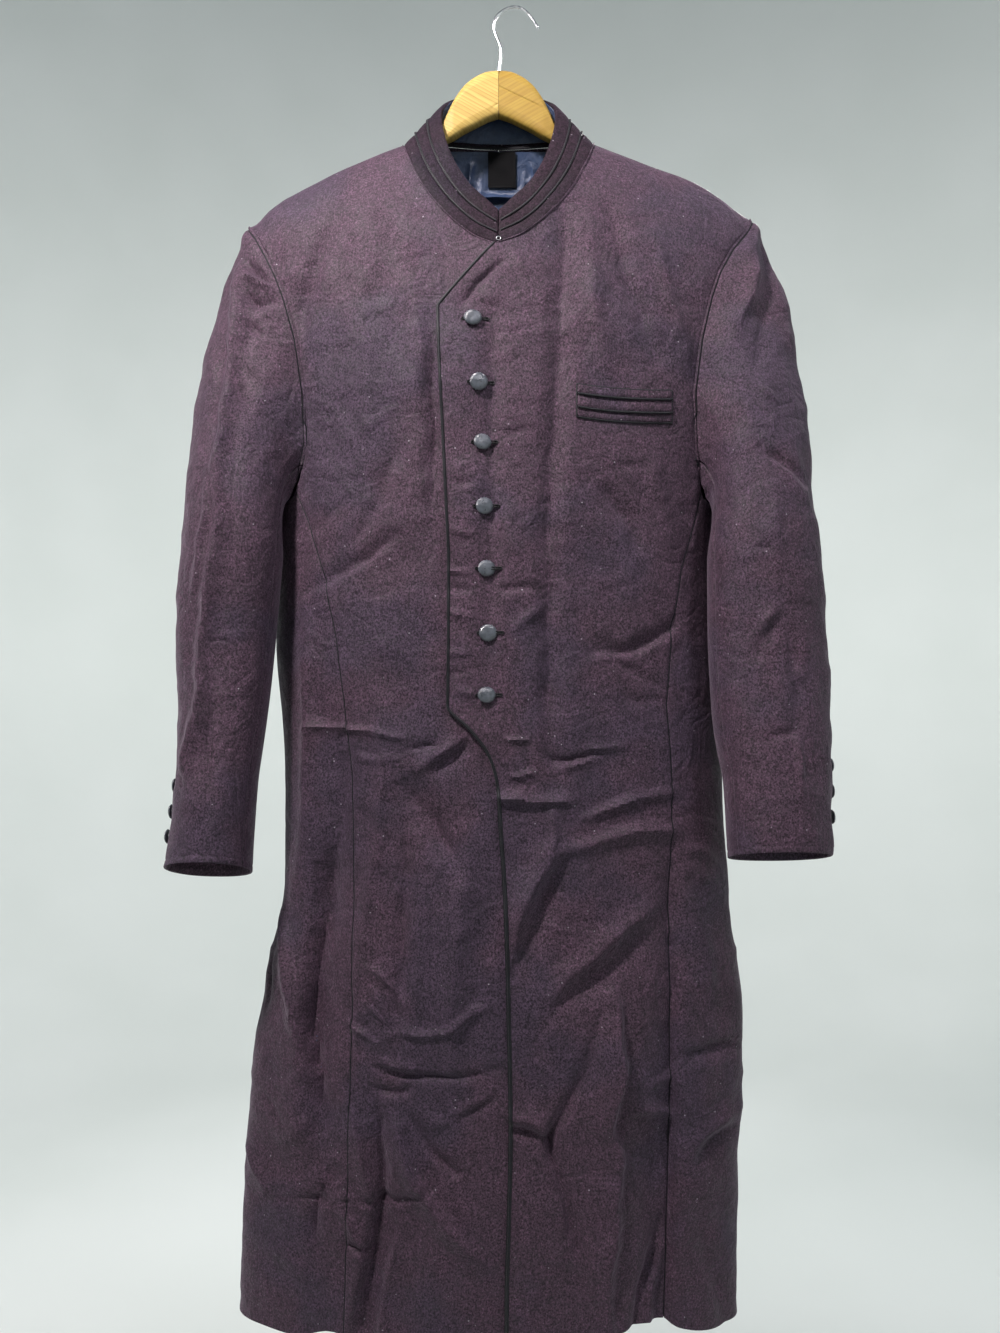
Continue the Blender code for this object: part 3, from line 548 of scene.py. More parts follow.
def back_inner(h):
    return CENTRE_X - 11 * float(smooth((-500 - h) / 600))


def back_corners(side_name):
    top = top_line(SIDE[side_name], BACK_NECK, 4, TIP[side_name])
    x, z = panel_grid(
        back_y, LEVELS, top, back_inner, outer_line(side_name, "back"), len(top)
    )
    points = surface(back_y, x, z)
    return points[:, ::-1] if side_name == "l" else points


def section_x(z, turn, power):
    """x of a place round the section, 0 at the wearer's left, 180 at the right."""
    left, right = BODY.at("left", z), BODY.at("right", z)
    c = np.cos(np.radians(turn))
    return (left + right) / 2 + (right - left) / 2 * np.sign(c) * np.abs(c) ** (2 / power)


def turn_of(x, z, power):
    left, right = BODY.at("left", z), BODY.at("right", z)
    t = np.clip((x - (left + right) / 2) / ((right - left) / 2), -1, 1)
    return math.degrees(math.acos(np.sign(t) * abs(t) ** (power / 2)))


def form_normal(form, x, z):
    return surface(form, x, z, 1.0 + 0 * x) - surface(form, x, z)


def side_line(side_name, level, ahead, behind, normals=False):
    """One row of a side panel: places in front (0..4), then behind (0..3)."""
    front_x = outer_line(side_name, "front")(level - 1e-6)
    rear_x = outer_line(side_name, "back")(level - 1e-6)
    end = 0.0 if side_name == "l" else 180.0
    start, stop = turn_of(front_x, level, FRONT_P), turn_of(rear_x, level, BACK_P)
    k = np.concatenate([
        np.interp(ahead, [0, EDGE_STEP, 1, 2, 3, 4], range(6)),
        np.interp(behind, [0, 1, 2, 3 - EDGE_STEP, 3], range(5, 10)),
    ])  # fmt: skip
    h = np.clip((level + 560) / (UNDERARM_Z + 560), 0, 1) ** 2
    z = level - UNDERARM_DIP * (1 - (2 * k / 9 - 1) ** 2) * h
    za, zb = z[: len(ahead)], z[len(ahead) :]
    xa = section_x(za, start + (end - start) * ahead / 4, FRONT_P)
    xb = section_x(zb, end + (stop - end) * behind / 3, BACK_P)
    xa[0] = front_x
    xb[-1] = rear_x
    if level < -1109:
        za, zb = hem_z(xa, za), hem_z(xb, zb)
        xa[1:] = section_x(za, start + (end - start) * ahead / 4, FRONT_P)[1:]
        xb[:-1] = section_x(zb, end + (stop - end) * behind / 3, BACK_P)[:-1]
    if normals:
        return np.concatenate([form_normal(front_y, xa, za), form_normal(back_y, xb, zb)])
    return np.concatenate([surface(front_y, xa, za), surface(back_y, xb, zb)])


def side_corners(side_name):
    ahead = np.array([0, EDGE_STEP, 1, 2, 3])
    behind = np.array([0, 1, 2, 3 - EDGE_STEP, 3])
    levels = [level for level in LEVELS + [-468] if level <= UNDERARM_Z]
    levels.sort(reverse=True)
    points = np.array([side_line(side_name, level, ahead, behind) for level in levels])
    return points[:, ::-1] if side_name == "r" else points


def armhole_loop(front, under, back, side_name):
    rows = LEVELS.index(UNDERARM_Z) + 1
    front_edge = front[:rows, -1 if side_name == "l" else 0]
    back_edge = back[:rows, 0 if side_name == "l" else -1]
    low = under[0] if side_name == "l" else under[0][::-1]
    middle = int(np.argmin(low[:, 2]))
    by_front = np.concatenate([low[: middle + 1][::-1], front_edge[::-1][1:]])
    by_back = np.concatenate([low[middle:], back_edge[::-1][1:]])
    return by_front, by_back


def sleeve_ring(table, level, a, side):
    """Points round a sleeve: a is 0 beside the body and 1 or -1 at the outside."""
    outer, inner = table.at("outer", level), table.at("inner", level)
    mid, half, rise = (table.at(k, level) for k in ("mid", "half", "rise"))
    a = np.asarray(a, float)
    psi = math.pi * a - math.radians(35) * (1 - np.abs(a))
    c, s = np.cos(psi), np.sin(psi)
    p = 2 / 2.15
    cx = (outer + inner) / 2 + np.abs(outer - inner) / 2 * np.sign(c) * np.abs(c) ** p * -side
    sy = -np.sign(s) * np.abs(s) ** p
    return np.stack(np.broadcast_arrays(cx, mid + half * sy, level - rise * sy), -1)


def clear_of_body(points, side, margin=2.8):
    """Presses a sleeve flat where it would touch the coat's side."""
    p = points.copy()
    x, y, z = p[..., 0], p[..., 1], p[..., 2]
    left, right = BODY.at("left", z), BODY.at("right", z)
    front, back, sy = BODY.at("front", z), BODY.at("back", z), BODY.at("side", z)
    ahead = y < sy
    d = np.clip(np.where(ahead, (sy - y) / (sy - front), (y - sy) / (back - sy)), 0, 1)
    power = np.where(ahead, FRONT_P, BACK_P)
    root = np.where(ahead, FRONT_Q, BACK_Q)
    t = (1 - d**root) ** (1 / power)
    edge = (left + right) / 2 + side * (right - left) / 2 * t
    limit = edge + side * (margin + 2.2 * smooth((y - sy + 6) / 8))
    low = z < UNDERARM_Z + 2
    pushed = np.where(side > 0, np.maximum(x, limit), np.minimum(x, limit))
    pushed = np.where(low, pushed, x)
    p[1:, ..., 0] = pushed[1:]
    p[0, ..., 0] += side * 0.9 * smooth((-430 - z[0]) / 20)
    return p


CAP_STEPS = [0, 0.06, 0.16, 0.3, 0.46, 0.64, 0.82]
SLEEVE_LEVELS = [-520, -560, -605, -645, -675, -705, -738, -770]
RING_Z = -520.0
CAP_HEAD = {"r": 0.24, "l": 0.38}  # how far the sleeve heads stand out


# ----------------------------------------------------- creases, listed one by one
# Each line: half width on its left (or above it), half width on its right (or
# below it), then (x, z, height) along it; upward or rightward. A negative
# height is a trough. Fronts are read as seen from the front.
SKIRT_R = [
    (24, 10, [(-5, -892, 0), (1, -851, 2.5), (10, -826, 3.4), (23, -801, 3.4), (36, -784, 2), (53, -776, 0)]),
    (8, 22, [(-3, -895, 0), (9, -866, -0.8), (18, -844, -1.8), (29, -817, -1.6), (41, -789, 0)]),
    (10, 14, [(40, -785, 0), (61, -778, 1.8), (94, -769, 2.2), (117, -763, 2.4), (141, -765, 1)]),
    (20, 8, [(26, -918, 0), (47, -893, 1.4), (75, -870, 2.3), (108, -846, 1.7), (134, -832, 0)]),
    (14, 24, [(26, -930, 0), (46, -910, -1.2), (73, -893, -2.2), (92, -879, -1.5), (116, -862, -0.9), (137, -853, 0)]),
    (44, 8, [(92, -1065, 0), (89, -1047, 2), (83, -1024, 4.4), (87, -1003, 5.6), (94, -977, 6.4), (93, -950, 5.6), (91, -924, 3.4), (86, -901, 0)]),
    (12, 8, [(33, -1054, -1), (30, -1034, -2.4), (39, -1019, -2.4), (54, -993, -2), (64, -967, -1.5), (72, -941, -1), (81, -911, 0)]),
    (7, 19, [(59, -1145, 0), (51, -1121, -1.5), (42, -1090, -1.8), (36, -1058, -2.4), (30, -1034, -1.8)]),
    (12, 7, [(-3, -1018, 1.5), (11, -1017, 1.8), (26, -1026, 0.8)]),
    (6, 11, [(-1, -1026, -1.5), (13, -1029, -2.4), (29, -1036, -1.2)]),
    (28, 8, [(85, -1206, 3), (83, -1170, 3.4), (85, -1135, 3.4), (89, -1095, 3.2), (92, -1060, 2.6), (90, -1036, 0)]),
    (8, 10, [(97, -1015, 0), (111, -1012, 1.6), (125, -1015, 1.8), (141, -1023, 1.2)]),
    (7, 10, [(117, -995, 0), (130, -991, 1.4), (142, -988, 1.4)]),
    (11, 9, [(108, -1206, -3.4), (117, -1170, -3.4), (126, -1140, -2.2), (131, -1114, 0)]),
    (8, 7, [(121, -1206, 2.6), (126, -1163, 2.2), (131, -1131, 0)]),
    (9, 18, [(145, -972, 0), (167, -967, -1.8), (190, -965, -2.0), (206, -967, -0.5)]),
    (15, 7, [(158, -1071, 0), (167, -1047, 1.6), (188, -1034, 1.8), (206, -1035, 0.4)]),
    (7, 12, [(163, -1072, 0), (175, -1058, -1.6), (190, -1046, -1.8), (206, -1046, -0.4)]),
    (6, 8, [(150, -783, 0), (166, -785, 1.4), (183, -795, 1)]),
    (6, 8, [(150, -800, 0), (163, -803, 1.1), (173, -811, 0.6)]),
    (28, 9, [(134, -1213, -2), (137, -1099, -3), (142, -1008, -3.4), (142, -919, -3.2), (143, -830, -2.6), (143, -767, 0)]),
    (10, 10, [(13, -1010, 0), (18, -966, -1), (22, -914, 0)]),
    (18, 16, [(71, -1206, 1), (71, -1170, 1.4), (66, -1099, 1), (62, -1046, 0)]),
    (16, 12, [(179, -931, 0), (174, -886, 1.4), (169, -832, 0)]),
    (16, 14, [(197, -1228, -1), (188, -1191, -1.4), (167, -1129, -1.2), (158, -1091, 0)]),
]
SKIRT_L = [
    (20, 24, [(-175, -1078, 0), (-176, -1026, -4), (-180, -974, -6), (-182, -921, -6.5), (-178, -869, -6), (-171, -814, -5), (-162, -776, -3.6), (-158, -722, -2.4), (-153, -667, 0)]),
    (5, 7, [(-177, -1026, 0), (-177, -999, -1.2), (-183, -965, -2), (-187, -926, -1.8), (-179, -893, 0)]),
    (9, 16, [(-196, -1009, 0), (-194, -957, 1.5), (-208, -923, 2.5), (-213, -889, 3.5), (-216, -856, 2.5), (-215, -820, 0)]),
    (8, 7, [(-236, -941, 0), (-232, -908, -4), (-230, -878, -5), (-221, -845, 0)]),
    (4, 5, [(-137, -887, 0), (-120, -893, 1.4), (-105, -905, 1.8), (-96, -923, 0)]),
    (4, 5, [(-109, -932, 0), (-115, -924, 1), (-123, -913, 1.5), (-132, -902, 0)]),
    (4, 6, [(-137, -915, 0), (-128, -923, 1.5), (-115, -933, 0.9), (-102, -937, 0)]),
    (4, 6, [(-156, -935, 0), (-140, -944, 1.8), (-122, -953, 0)]),
    (7, 5, [(-128, -976, 0), (-107, -980, -1.8), (-84, -982, -1.9), (-53, -982, -1.4), (-16, -977, -0.6)]),
    (10, 5, [(-131, -994, 0), (-116, -997, -1.6), (-95, -995, -1.4), (-90, -985, 0)]),
    (5, 5, [(-128, -969, 0), (-116, -970, 1.2), (-92, -973, 0.8), (-83, -974, 0)]),
    (8, 7, [(-127, -955, 0), (-104, -942, 1.2), (-80, -946, 1.2), (-58, -940, 1.8), (-40, -928, 2.2), (-25, -921, 0.5)]),
    (17, 15, [(-134, -1212, -6), (-128, -1170, -6), (-120, -1130, -5.5), (-118, -1093, -5), (-120, -1039, -4), (-128, -991, 0)]),
    (20, 8, [(-17, -1156, 0), (-40, -1133, 1.5), (-61, -1112, 2.8), (-77, -1088, 4), (-90, -1069, 4.4), (-100, -1043, 3.2), (-108, -1014, 0)]),
    (8, 11, [(-45, -1071, 0), (-53, -1066, -1.8), (-74, -1048, -2.2), (-89, -1029, -1.8), (-100, -1003, 0)]),
    (6, 28, [(-122, -1213, 3.2), (-114, -1162, 3), (-105, -1130, 2.2), (-99, -1106, 0)]),
    (18, 7, [(-128, -1096, 1.2), (-135, -1062, 2), (-142, -1028, 1.6), (-155, -998, 0)]),
    (17, 6, [(-149, -1212, 2.2), (-141, -1165, 1.6), (-135, -1129, 0)]),
    (8, 5, [(-232, -1111, 0), (-194, -1099, -1), (-156, -1095, -1.3), (-127, -1098, -1.8), (-102, -1093, -1.5), (-75, -1085, -0.8)]),
    (9, 7, [(-174, -1153, 0), (-179, -1132, -2.6), (-182, -1112, -2.8), (-177, -1092, -3), (-168, -1077, -2.6), (-153, -1066, 0)]),
    (6, 10, [(-173, -1097, 0), (-156, -1093, 1.8), (-142, -1095, 1.4), (-133, -1101, 0)]),
    (10, 5, [(-158, -1134, 0), (-145, -1136, -1.8), (-131, -1140, -1.5), (-113, -1143, 0)]),
    (10, 6, [(-135, -1138, 0), (-138, -1128, 1.4), (-147, -1111, 1.7), (-161, -1099, 0)]),
    (9, 8, [(-226, -1103, 0), (-237, -1083, 1.9), (-248, -1068, 0.5)]),
    (7, 7, [(-205, -1039, 0), (-219, -1025, -1.1), (-233, -1010, 0)]),
    (6, 6, [(-203, -1047, 0), (-189, -1028, 1.3), (-175, -1015, 0)]),
    (10, 9, [(-84, -1012, 0), (-67, -1029, 1), (-40, -1011, 1.2), (-18, -989, 0)]),
    (8, 9, [(-76, -1042, 0), (-58, -1022, -1), (-31, -1011, -1), (-15, -1000, 0)]),
    (14, 14, [(-232, -1145, 0), (-204, -1151, 0.8), (-175, -1178, 0)]),
]
WAIST = [
    (14, 8, [(-198, -554, 0), (-172, -540, -1.2), (-148, -529, -1.7), (-120, -514, -1.5), (-100, -500, 0)]),
    (5, 7, [(-204, -681, 0), (-186, -672, 1.4), (-166, -675, 1.2), (-138, -677, 1.4), (-114, -678, 1.2), (-96, -683, 0)]),
    (7, 5, [(-98, -692, 0), (-85, -689, -1.7), (-62, -686, 0)]),
    (4, 6, [(-149, -701, 0), (-128, -702, 1.1), (-101, -700, 0)]),
    (13, 7, [(-92, -716, 0), (-76, -702, 1.9), (-58, -689, 2.1), (-44, -678, 0)]),
    (7, 13, [(-80, -718, 0), (-62, -706, -1.7), (-49, -693, -1.9), (-38, -682, 0)]),
    (22, 28, [(-42, -813, 0), (-55, -786, -1.9), (-67, -769, -2.4), (-79, -750, -2.6), (-92, -735, -2.4), (-103, -718, 0)]),
    (4, 9, [(-51, -801, 0), (-61, -775, -1.2), (-76, -748, 0)]),
    (14, 18, [(-206, -853, 0), (-198, -798, 1.5), (-194, -724, 2), (-190, -631, 2), (-193, -558, 0)]),
    (16, 14, [(-143, -918, 0), (-135, -855, 1.4), (-126, -792, 1.4), (-116, -720, 1.5), (-121, -649, 0)]),
    (16, 16, [(-107, -968, 0), (-104, -923, -1.6), (-102, -862, -2.6), (-98, -791, -2), (-98, -738, 0)]),
    (26, 26, [(-53, -1020, 0), (-58, -967, 1.6), (-56, -896, 2.6), (-47, -826, 2.6), (-40, -755, 0)]),
    (16, 6, [(62, -607, 0), (80, -604, -1.3), (98, -606, -1.8), (112, -602, -2.4), (127, -593, -2.4), (144, -581, -1.3)]),
    (8, 6, [(84, -613, 0), (101, -619, -1.3), (121, -632, -0.5), (136, -640, 0)]),
    (18, 18, [(36, -746, 0), (33, -702, -1.5), (30, -649, -2.6), (29, -560, -2.6), (32, -490, 0)]),
    (4, 5, [(-7, -682, 0.8), (4, -682, 1.1), (17, -682, 0)]),
    (5, 5, [(-5, -717, 0.8), (8, -716, 1.3), (20, -712, 0)]),
    (8, 5, [(22, -699, 0), (40, -706, -1.5), (59, -700, -1.3), (81, -693, 0)]),
    (5, 6, [(56, -693, 0), (76, -690, 1.3), (105, -691, 0)]),
    (5, 6, [(26, -716, 0), (50, -707, 1.3), (77, -699, 0)]),
    (10, 5, [(-12, -735, 2.2), (-0, -734, 2.8), (13, -737, 2.3), (29, -739, 1.9), (41, -740, 1.6), (58, -737, 0)]),
    (7, 9, [(54, -755, 0), (74, -748, 1.5), (96, -740, 2), (117, -734, 1.5), (141, -732, 0.8)]),
    (9, 7, [(25, -792, 0), (33, -777, 1.9), (37, -760, 1.6), (34, -743, 0)]),
    (8, 7, [(-3, -589, 0), (13, -575, 1.5), (27, -560, 0)]),
    (7, 5, [(-11, -553, -0.9), (4, -551, -1.1), (26, -550, 0)]),
    (10, 8, [(94, -640, 0), (112, -649, -0.8), (139, -654, 0)]),
    (4, 5, [(-56, -535, 0.7), (-47, -536, 0.8), (-35, -535, 0)]),
    (4, 5, [(-56, -551, -0.6), (-47, -552, -0.8), (-37, -550, 0)]),
    (4, 5, [(-55, -570, 0.7), (-46, -572, 0.8), (-37, -571, 0)]),
    (5, 5, [(-55, -606, 0.8), (-46, -608, 0.8), (-33, -604, 0)]),
    (5, 5, [(-55, -623, -0.6), (-45, -624, -0.8), (-31, -620, 0)]),
    (5, 5, [(-51, -640, 0.6), (-42, -642, 0.8), (-33, -640, 0)]),
    (5, 5, [(-53, -499, 0.7), (-44, -501, 0.8), (-31, -499, 0)]),
    (6, 5, [(-56, -455, -0.5), (-45, -458, -0.8), (-33, -455, 0)]),
    (20, 18, [(-22, -649, 0), (-22, -595, -1), (-22, -524, -1.2), (-21, -435, -1.2), (-20, -382, -1.6), (-21, -328, -1.6), (-22, -293, 0)]),
    (10, 12, [(-72, -512, 0), (-73, -440, -1.8), (-74, -360, -1.8), (-76, -300, 0)]),
    (5, 6, [(-50, -306, 0), (-40, -287, -1.3), (-25, -271, -1.5), (-9, -257, 0)]),
]
CHEST = [
    (16, 16, [(130, -353, 0), (119, -318, -2.4), (106, -283, -2.6), (92, -237, -2.2), (84, -189, 0)]),
    (20, 18, [(84, -365, 0), (75, -330, 1.5), (68, -275, 1.5), (67, -200, 0)]),
    (18, 14, [(159, -359, 0), (149, -316, 1.5), (135, -272, 1.5), (122, -216, 0)]),
    (20, 18, [(30, -525, 0), (30, -490, -2.6), (35, -410, -2.4), (39, -349, -2.2), (41, -276, -1.8), (46, -201, 0)]),
    (12, 14, [(112, -523, 0), (103, -488, -1.7), (89, -471, -2), (75, -454, 0)]),
    (7, 6, [(84, -444, 0), (102, -440, -0.8), (121, -442, 0)]),
    (8, 8, [(13, -274, 0), (4, -260, 1.2), (-8, -247, 0)]),
    (6, 5, [(-12, -420, 0), (-0, -414, -1.1), (15, -411, 0)]),
    (18, 16, [(-197, -331, 0), (-195, -296, -1.7), (-178, -252, -1.9), (-163, -210, 0)]),
    (9, 10, [(-204, -290, 0), (-218, -255, -1.2), (-233, -226, 0)]),
    (30, 30, [(-139, -452, 0), (-131, -382, 1.2), (-137, -292, 1.2), (-131, -197, 0)]),
    (16, 14, [(-153, -512, 0), (-130, -488, -1.1), (-116, -453, -1.3), (-98, -419, 0)]),
    (22, 18, [(-84, -472, 0), (-89, -401, 0.9), (-84, -321, 0.9), (-94, -248, 0)]),
    (16, 14, [(139, -495, 0), (126, -451, 0.9), (112, -407, 0)]),
    (14, 14, [(4, -543, 0), (-3, -507, 0.9), (-14, -472, 0)]),
]
SLEEVE_R_CREASES = [
    (9, 16, [(-291, -715, 0), (-286, -700, 1.3), (-278, -674, 2), (-273, -639, 2.2), (-271, -596, 2.2), (-268, -553, 2.2), (-263, -527, 2.2), (-256, -505, 2.2), (-260, -464, 2.2), (-260, -418, 2.2), (-256, -381, 2.6), (-254, -332, 2.6), (-253, -283, 2.6), (-254, -240, 0)]),
    (6, 8, [(-281, -561, 0), (-274, -526, 1.4), (-269, -482, 1.4), (-268, -437, 0)]),
    (7, 7, [(-250, -244, 0), (-239, -254, -2.4), (-226, -266, -2.4), (-215, -271, 0)]),
    (6, 7, [(-251, -261, 0), (-239, -265, 2.1), (-219, -273, 1.8), (-211, -278, 0)]),
    (7, 8, [(-252, -275, 0), (-238, -285, -2.4), (-225, -288, -2.8), (-210, -286, -1)]),
    (6, 7, [(-240, -303, 0), (-225, -297, 1.5), (-210, -292, 0.6)]),
    (8, 7, [(-219, -332, 0), (-229, -319, -1.8), (-237, -312, -2.2), (-245, -303, 0)]),
    (9, 8, [(-211, -377, 0), (-220, -370, 1.4), (-235, -353, 1.6), (-249, -332, 0)]),
    (10, 7, [(-250, -369, 0), (-236, -389, -2), (-222, -405, -2.2), (-212, -409, -1.6), (-203, -414, 0)]),
    (5, 7, [(-226, -422, 0), (-216, -414, 1.5), (-207, -413, 0.8)]),
    (8, 9, [(-233, -473, 0), (-239, -446, -1.6), (-252, -409, 0)]),
    (15, 10, [(-221, -518, 0), (-223, -503, 1.7), (-220, -471, 1.7), (-226, -430, 0)]),
    (8, 10, [(-237, -613, 0), (-242, -561, -1.3), (-240, -526, -1.5), (-247, -491, 0)]),
    (10, 10, [(-238, -605, 0), (-235, -570, 1.5), (-232, -535, 0)]),
    (14, 14, [(-244, -768, 0.8), (-243, -700, 1.3), (-240, -648, 0)]),
    (10, 9, [(-236, -701, 0), (-233, -648, -1), (-227, -596, 0)]),
    (12, 12, [(-259, -775, -0.6), (-262, -699, -1.2), (-262, -639, 0)]),
]
SLEEVE_L_CREASES = [
    (19, 12, [(184, -348, 0), (194, -327, 0.9), (205, -306, 1.7), (213, -285, 2.2), (218, -262, 2.1), (220, -238, 1.5), (219, -216, 0.4)]),
    (11, 24, [(210, -362, 0), (220, -326, -0.7), (229, -294, -0.9), (234, -262, -0.8), (233, -232, -0.4), (230, -214, 0)]),
    (6, 6, [(168, -366, 0), (179, -366, -1.8), (192, -367, 0)]),
    (5, 5, [(235, -386, 0), (226, -376, 1.5), (216, -366, 0)]),
    (6, 5, [(227, -400, 0), (218, -392, -1.1), (210, -380, -1.5), (201, -372, 0)]),
    (5, 6, [(196, -391, 0), (209, -403, 1.3), (234, -405, 0)]),
    (9, 7, [(191, -398, 0), (202, -414, -2), (213, -426, -1.8), (232, -437, -1.6), (247, -449, -1.3), (259, -459, 0)]),
    (8, 8, [(195, -469, 0), (183, -452, 1.3), (175, -425, 0)]),
    (5, 6, [(180, -499, 0), (189, -508, 1.3), (200, -507, 0)]),
    (7, 6, [(200, -517, 0), (212, -514, -1.3), (225, -520, 0)]),
    (9, 6, [(194, -562, 0), (206, -554, -2), (216, -546, 0)]),
    (8, 10, [(180, -549, 0), (183, -563, 1.6), (195, -567, 1.8), (209, -577, 0)]),
    (15, 9, [(189, -629, 0), (198, -609, 2.5), (206, -592, 2.8), (216, -577, 2.3), (228, -567, 0)]),
    (8, 15, [(193, -633, 0), (204, -613, -1.9), (215, -596, -2.1), (231, -570, 0)]),
    (8, 5, [(189, -684, 0), (195, -677, -1.8), (205, -667, 0)]),
    (7, 5, [(213, -687, 0), (220, -681, -1.5), (231, -679, -1.1), (241, -678, 0)]),
    (5, 6, [(245, -733, 0), (245, -699, 1.3), (240, -680, 0)]),
    (12, 12, [(240, -682, 0), (242, -631, -1.3), (238, -561, 0)]),
    (10, 10, [(181, -424, 0), (180, -376, 1.2), (184, -330, 0)]),
    (16, 14, [(225, -553, 0), (227, -509, 1.2), (223, -455, 0)]),
    (8, 12, [(192, -701, 0), (183, -649, 1.2), (182, -595, 0)]),
    (16, 16, [(209, -781, 0.6), (208, -759, 0.8), (204, -725, 0)]),
]


FRONT_CREASES = SKIRT_R + SKIRT_L + WAIST + CHEST

# folds round the sides, (y, z, height): y grows towards the back
SIDE_CREASES = [
    (16, 14, [(-22, -1215, 1.6), (-20, -1080, 2.2), (-16, -940, 1.8), (-14, -830, 0)]),
    (14, 18, [(4, -1215, -3.0), (6, -1100, -3.2), (4, -960, -2.4), (2, -860, 0)]),
    (18, 14, [(26, -1215, 2.6), (24, -1090, 2.8), (20, -950, 1.8), (16, -850, 0)]),
    (8, 12, [(-34, -905, 0), (-14, -890, 1.4), (12, -884, 1.6), (34, -892, 0)]),
    (9, 12, [(-30, -780, 0), (-8, -770, -1.3), (16, -768, -1.3), (34, -776, 0)]),
    (8, 10, [(-30, -735, 0), (0, -722, 1.1), (30, -728, 0)]),
    (9, 9, [(-24, -1010, 0), (0, -998, 1.2), (24, -1012, 0)]),
    (10, 12, [(-30, -640, 0), (0, -628, -1.0), (30, -634, 0)]),
]

# the back is not seen in the photograph: longer folds, fewer of them
BACK_CREASES = [
    (26, 22, [(-118, -1216, -3.4), (-112, -1100, -3.8), (-104, -980, -3.0), (-98, -860, 0)]),
    (16, 24, [(-150, -1216, 2.8), (-146, -1090, 3.2), (-138, -960, 2.4), (-130, -850, 0)]),
    (20, 14, [(-78, -1216, 2.2), (-74, -1110, 2.6), (-70, -990, 2.0), (-64, -880, 0)]),
    (10, 16, [(-196, -1216, -2.6), (-198, -1120, -3.0), (-190, -1000, -2.0), (-182, -900, 0)]),
    (14, 18, [(-46, -1216, -2.0), (-44, -1120, -2.2), (-42, -1010, -1.4), (-40, -930, 0)]),
    (20, 16, [(26, -1216, 2.4), (24, -1110, 2.8), (20, -980, 2.0), (16, -860, 0)]),
    (22, 26, [(74, -1216, -3.2), (70, -1090, -3.4), (64, -960, -2.4), (58, -840, 0)]),
    (14, 20, [(112, -1216, 3.0), (108, -1110, 3.4), (102, -1000, 2.4), (98, -900, 0)]),
    (18, 12, [(150, -1216, -2.4), (148, -1120, -2.8), (142, -1010, -1.8), (138, -920, 0)]),
    (9, 14, [(180, -1190, 0), (176, -1120, 1.8), (170, -1040, 0)]),
    (9, 16, [(-160, -905, 0), (-120, -880, 1.8), (-80, -872, 2.0), (-46, -880, 0)]),
    (7, 13, [(-140, -930, 0), (-100, -908, -1.8), (-62, -902, -1.4), (-36, -908, 0)]),
    (8, 15, [(0, -878, 0), (40, -864, 2.0), (86, -868, 2.2), (130, -884, 0)]),
    (7, 12, [(28, -905, 0), (66, -892, -1.6), (104, -898, -1.6), (132, -912, 0)]),
    (10, 16, [(-186, -742, 0), (-150, -722, -1.9), (-110, -712, -1.6), (-64, -716, 0)]),
    (8, 12, [(-176, -706, 0), (-140, -692, 1.5), (-96, -688, 0)]),
    (10, 14, [(34, -722, 0), (80, -708, -1.8), (126, -712, -1.9), (170, -730, 0)]),
    (8, 12, [(60, -690, 0), (104, -680, 1.5), (150, -692, 0)]),
    (9, 12, [(-60, -768, 0), (-20, -756, 1.3), (26, -762, 0)]),
    (7, 10, [(-64, -1096, 0), (-20, -1084, -1.3), (40, -1090, -1.5), (96, -1082, 0)]),
    (6, 10, [(-168, -1100, 0), (-130, -1086, 1.4), (-92, -1094, 0)]),
    (8, 11, [(104, -1104, 0), (140, -1092, 1.4), (176, -1100, 0)]),
    (18, 22, [(-196, -452, 0), (-160, -384, -2.0), (-130, -318, -2.2), (-112, -250, 0)]),
    (20, 16, [(92, -242, 0), (112, -310, -2.2), (140, -380, -2.0), (168, -446, 0)][::-1]),
    (26, 22, [(-70, -640, 0), (-74, -520, 1.4), (-70, -400, 1.4), (-60, -280, 0)]),
    (22, 26, [(40, -640, 0), (46, -520, 1.4), (42, -400, 1.4), (34, -280, 0)]),
    (12, 16, [(-128, -620, 0), (-110, -560, -1.5), (-96, -490, 0)]),
    (16, 12, [(74, -480, 0), (90, -560, -1.5), (110, -630, 0)][::-1]),
    (9, 12, [(-60, -188, 0), (-14, -196, 1.3), (34, -188, 0)]),
    (9, 12, [(-74, -214, 0), (-14, -226, -1.3), (50, -214, 0)]),
]


def rounded(line):
    """The line with its corners cut twice, so that a crease bends softly."""
    p = np.array(line, float)
    for _ in range(2):
        cut = np.stack([0.75 * p[:-1] + 0.25 * p[1:], 0.25 * p[:-1] + 0.75 * p[1:]], 1)
        p = np.concatenate([p[:1], cut.reshape(-1, 3)[1:-1], p[-1:]])
    return p


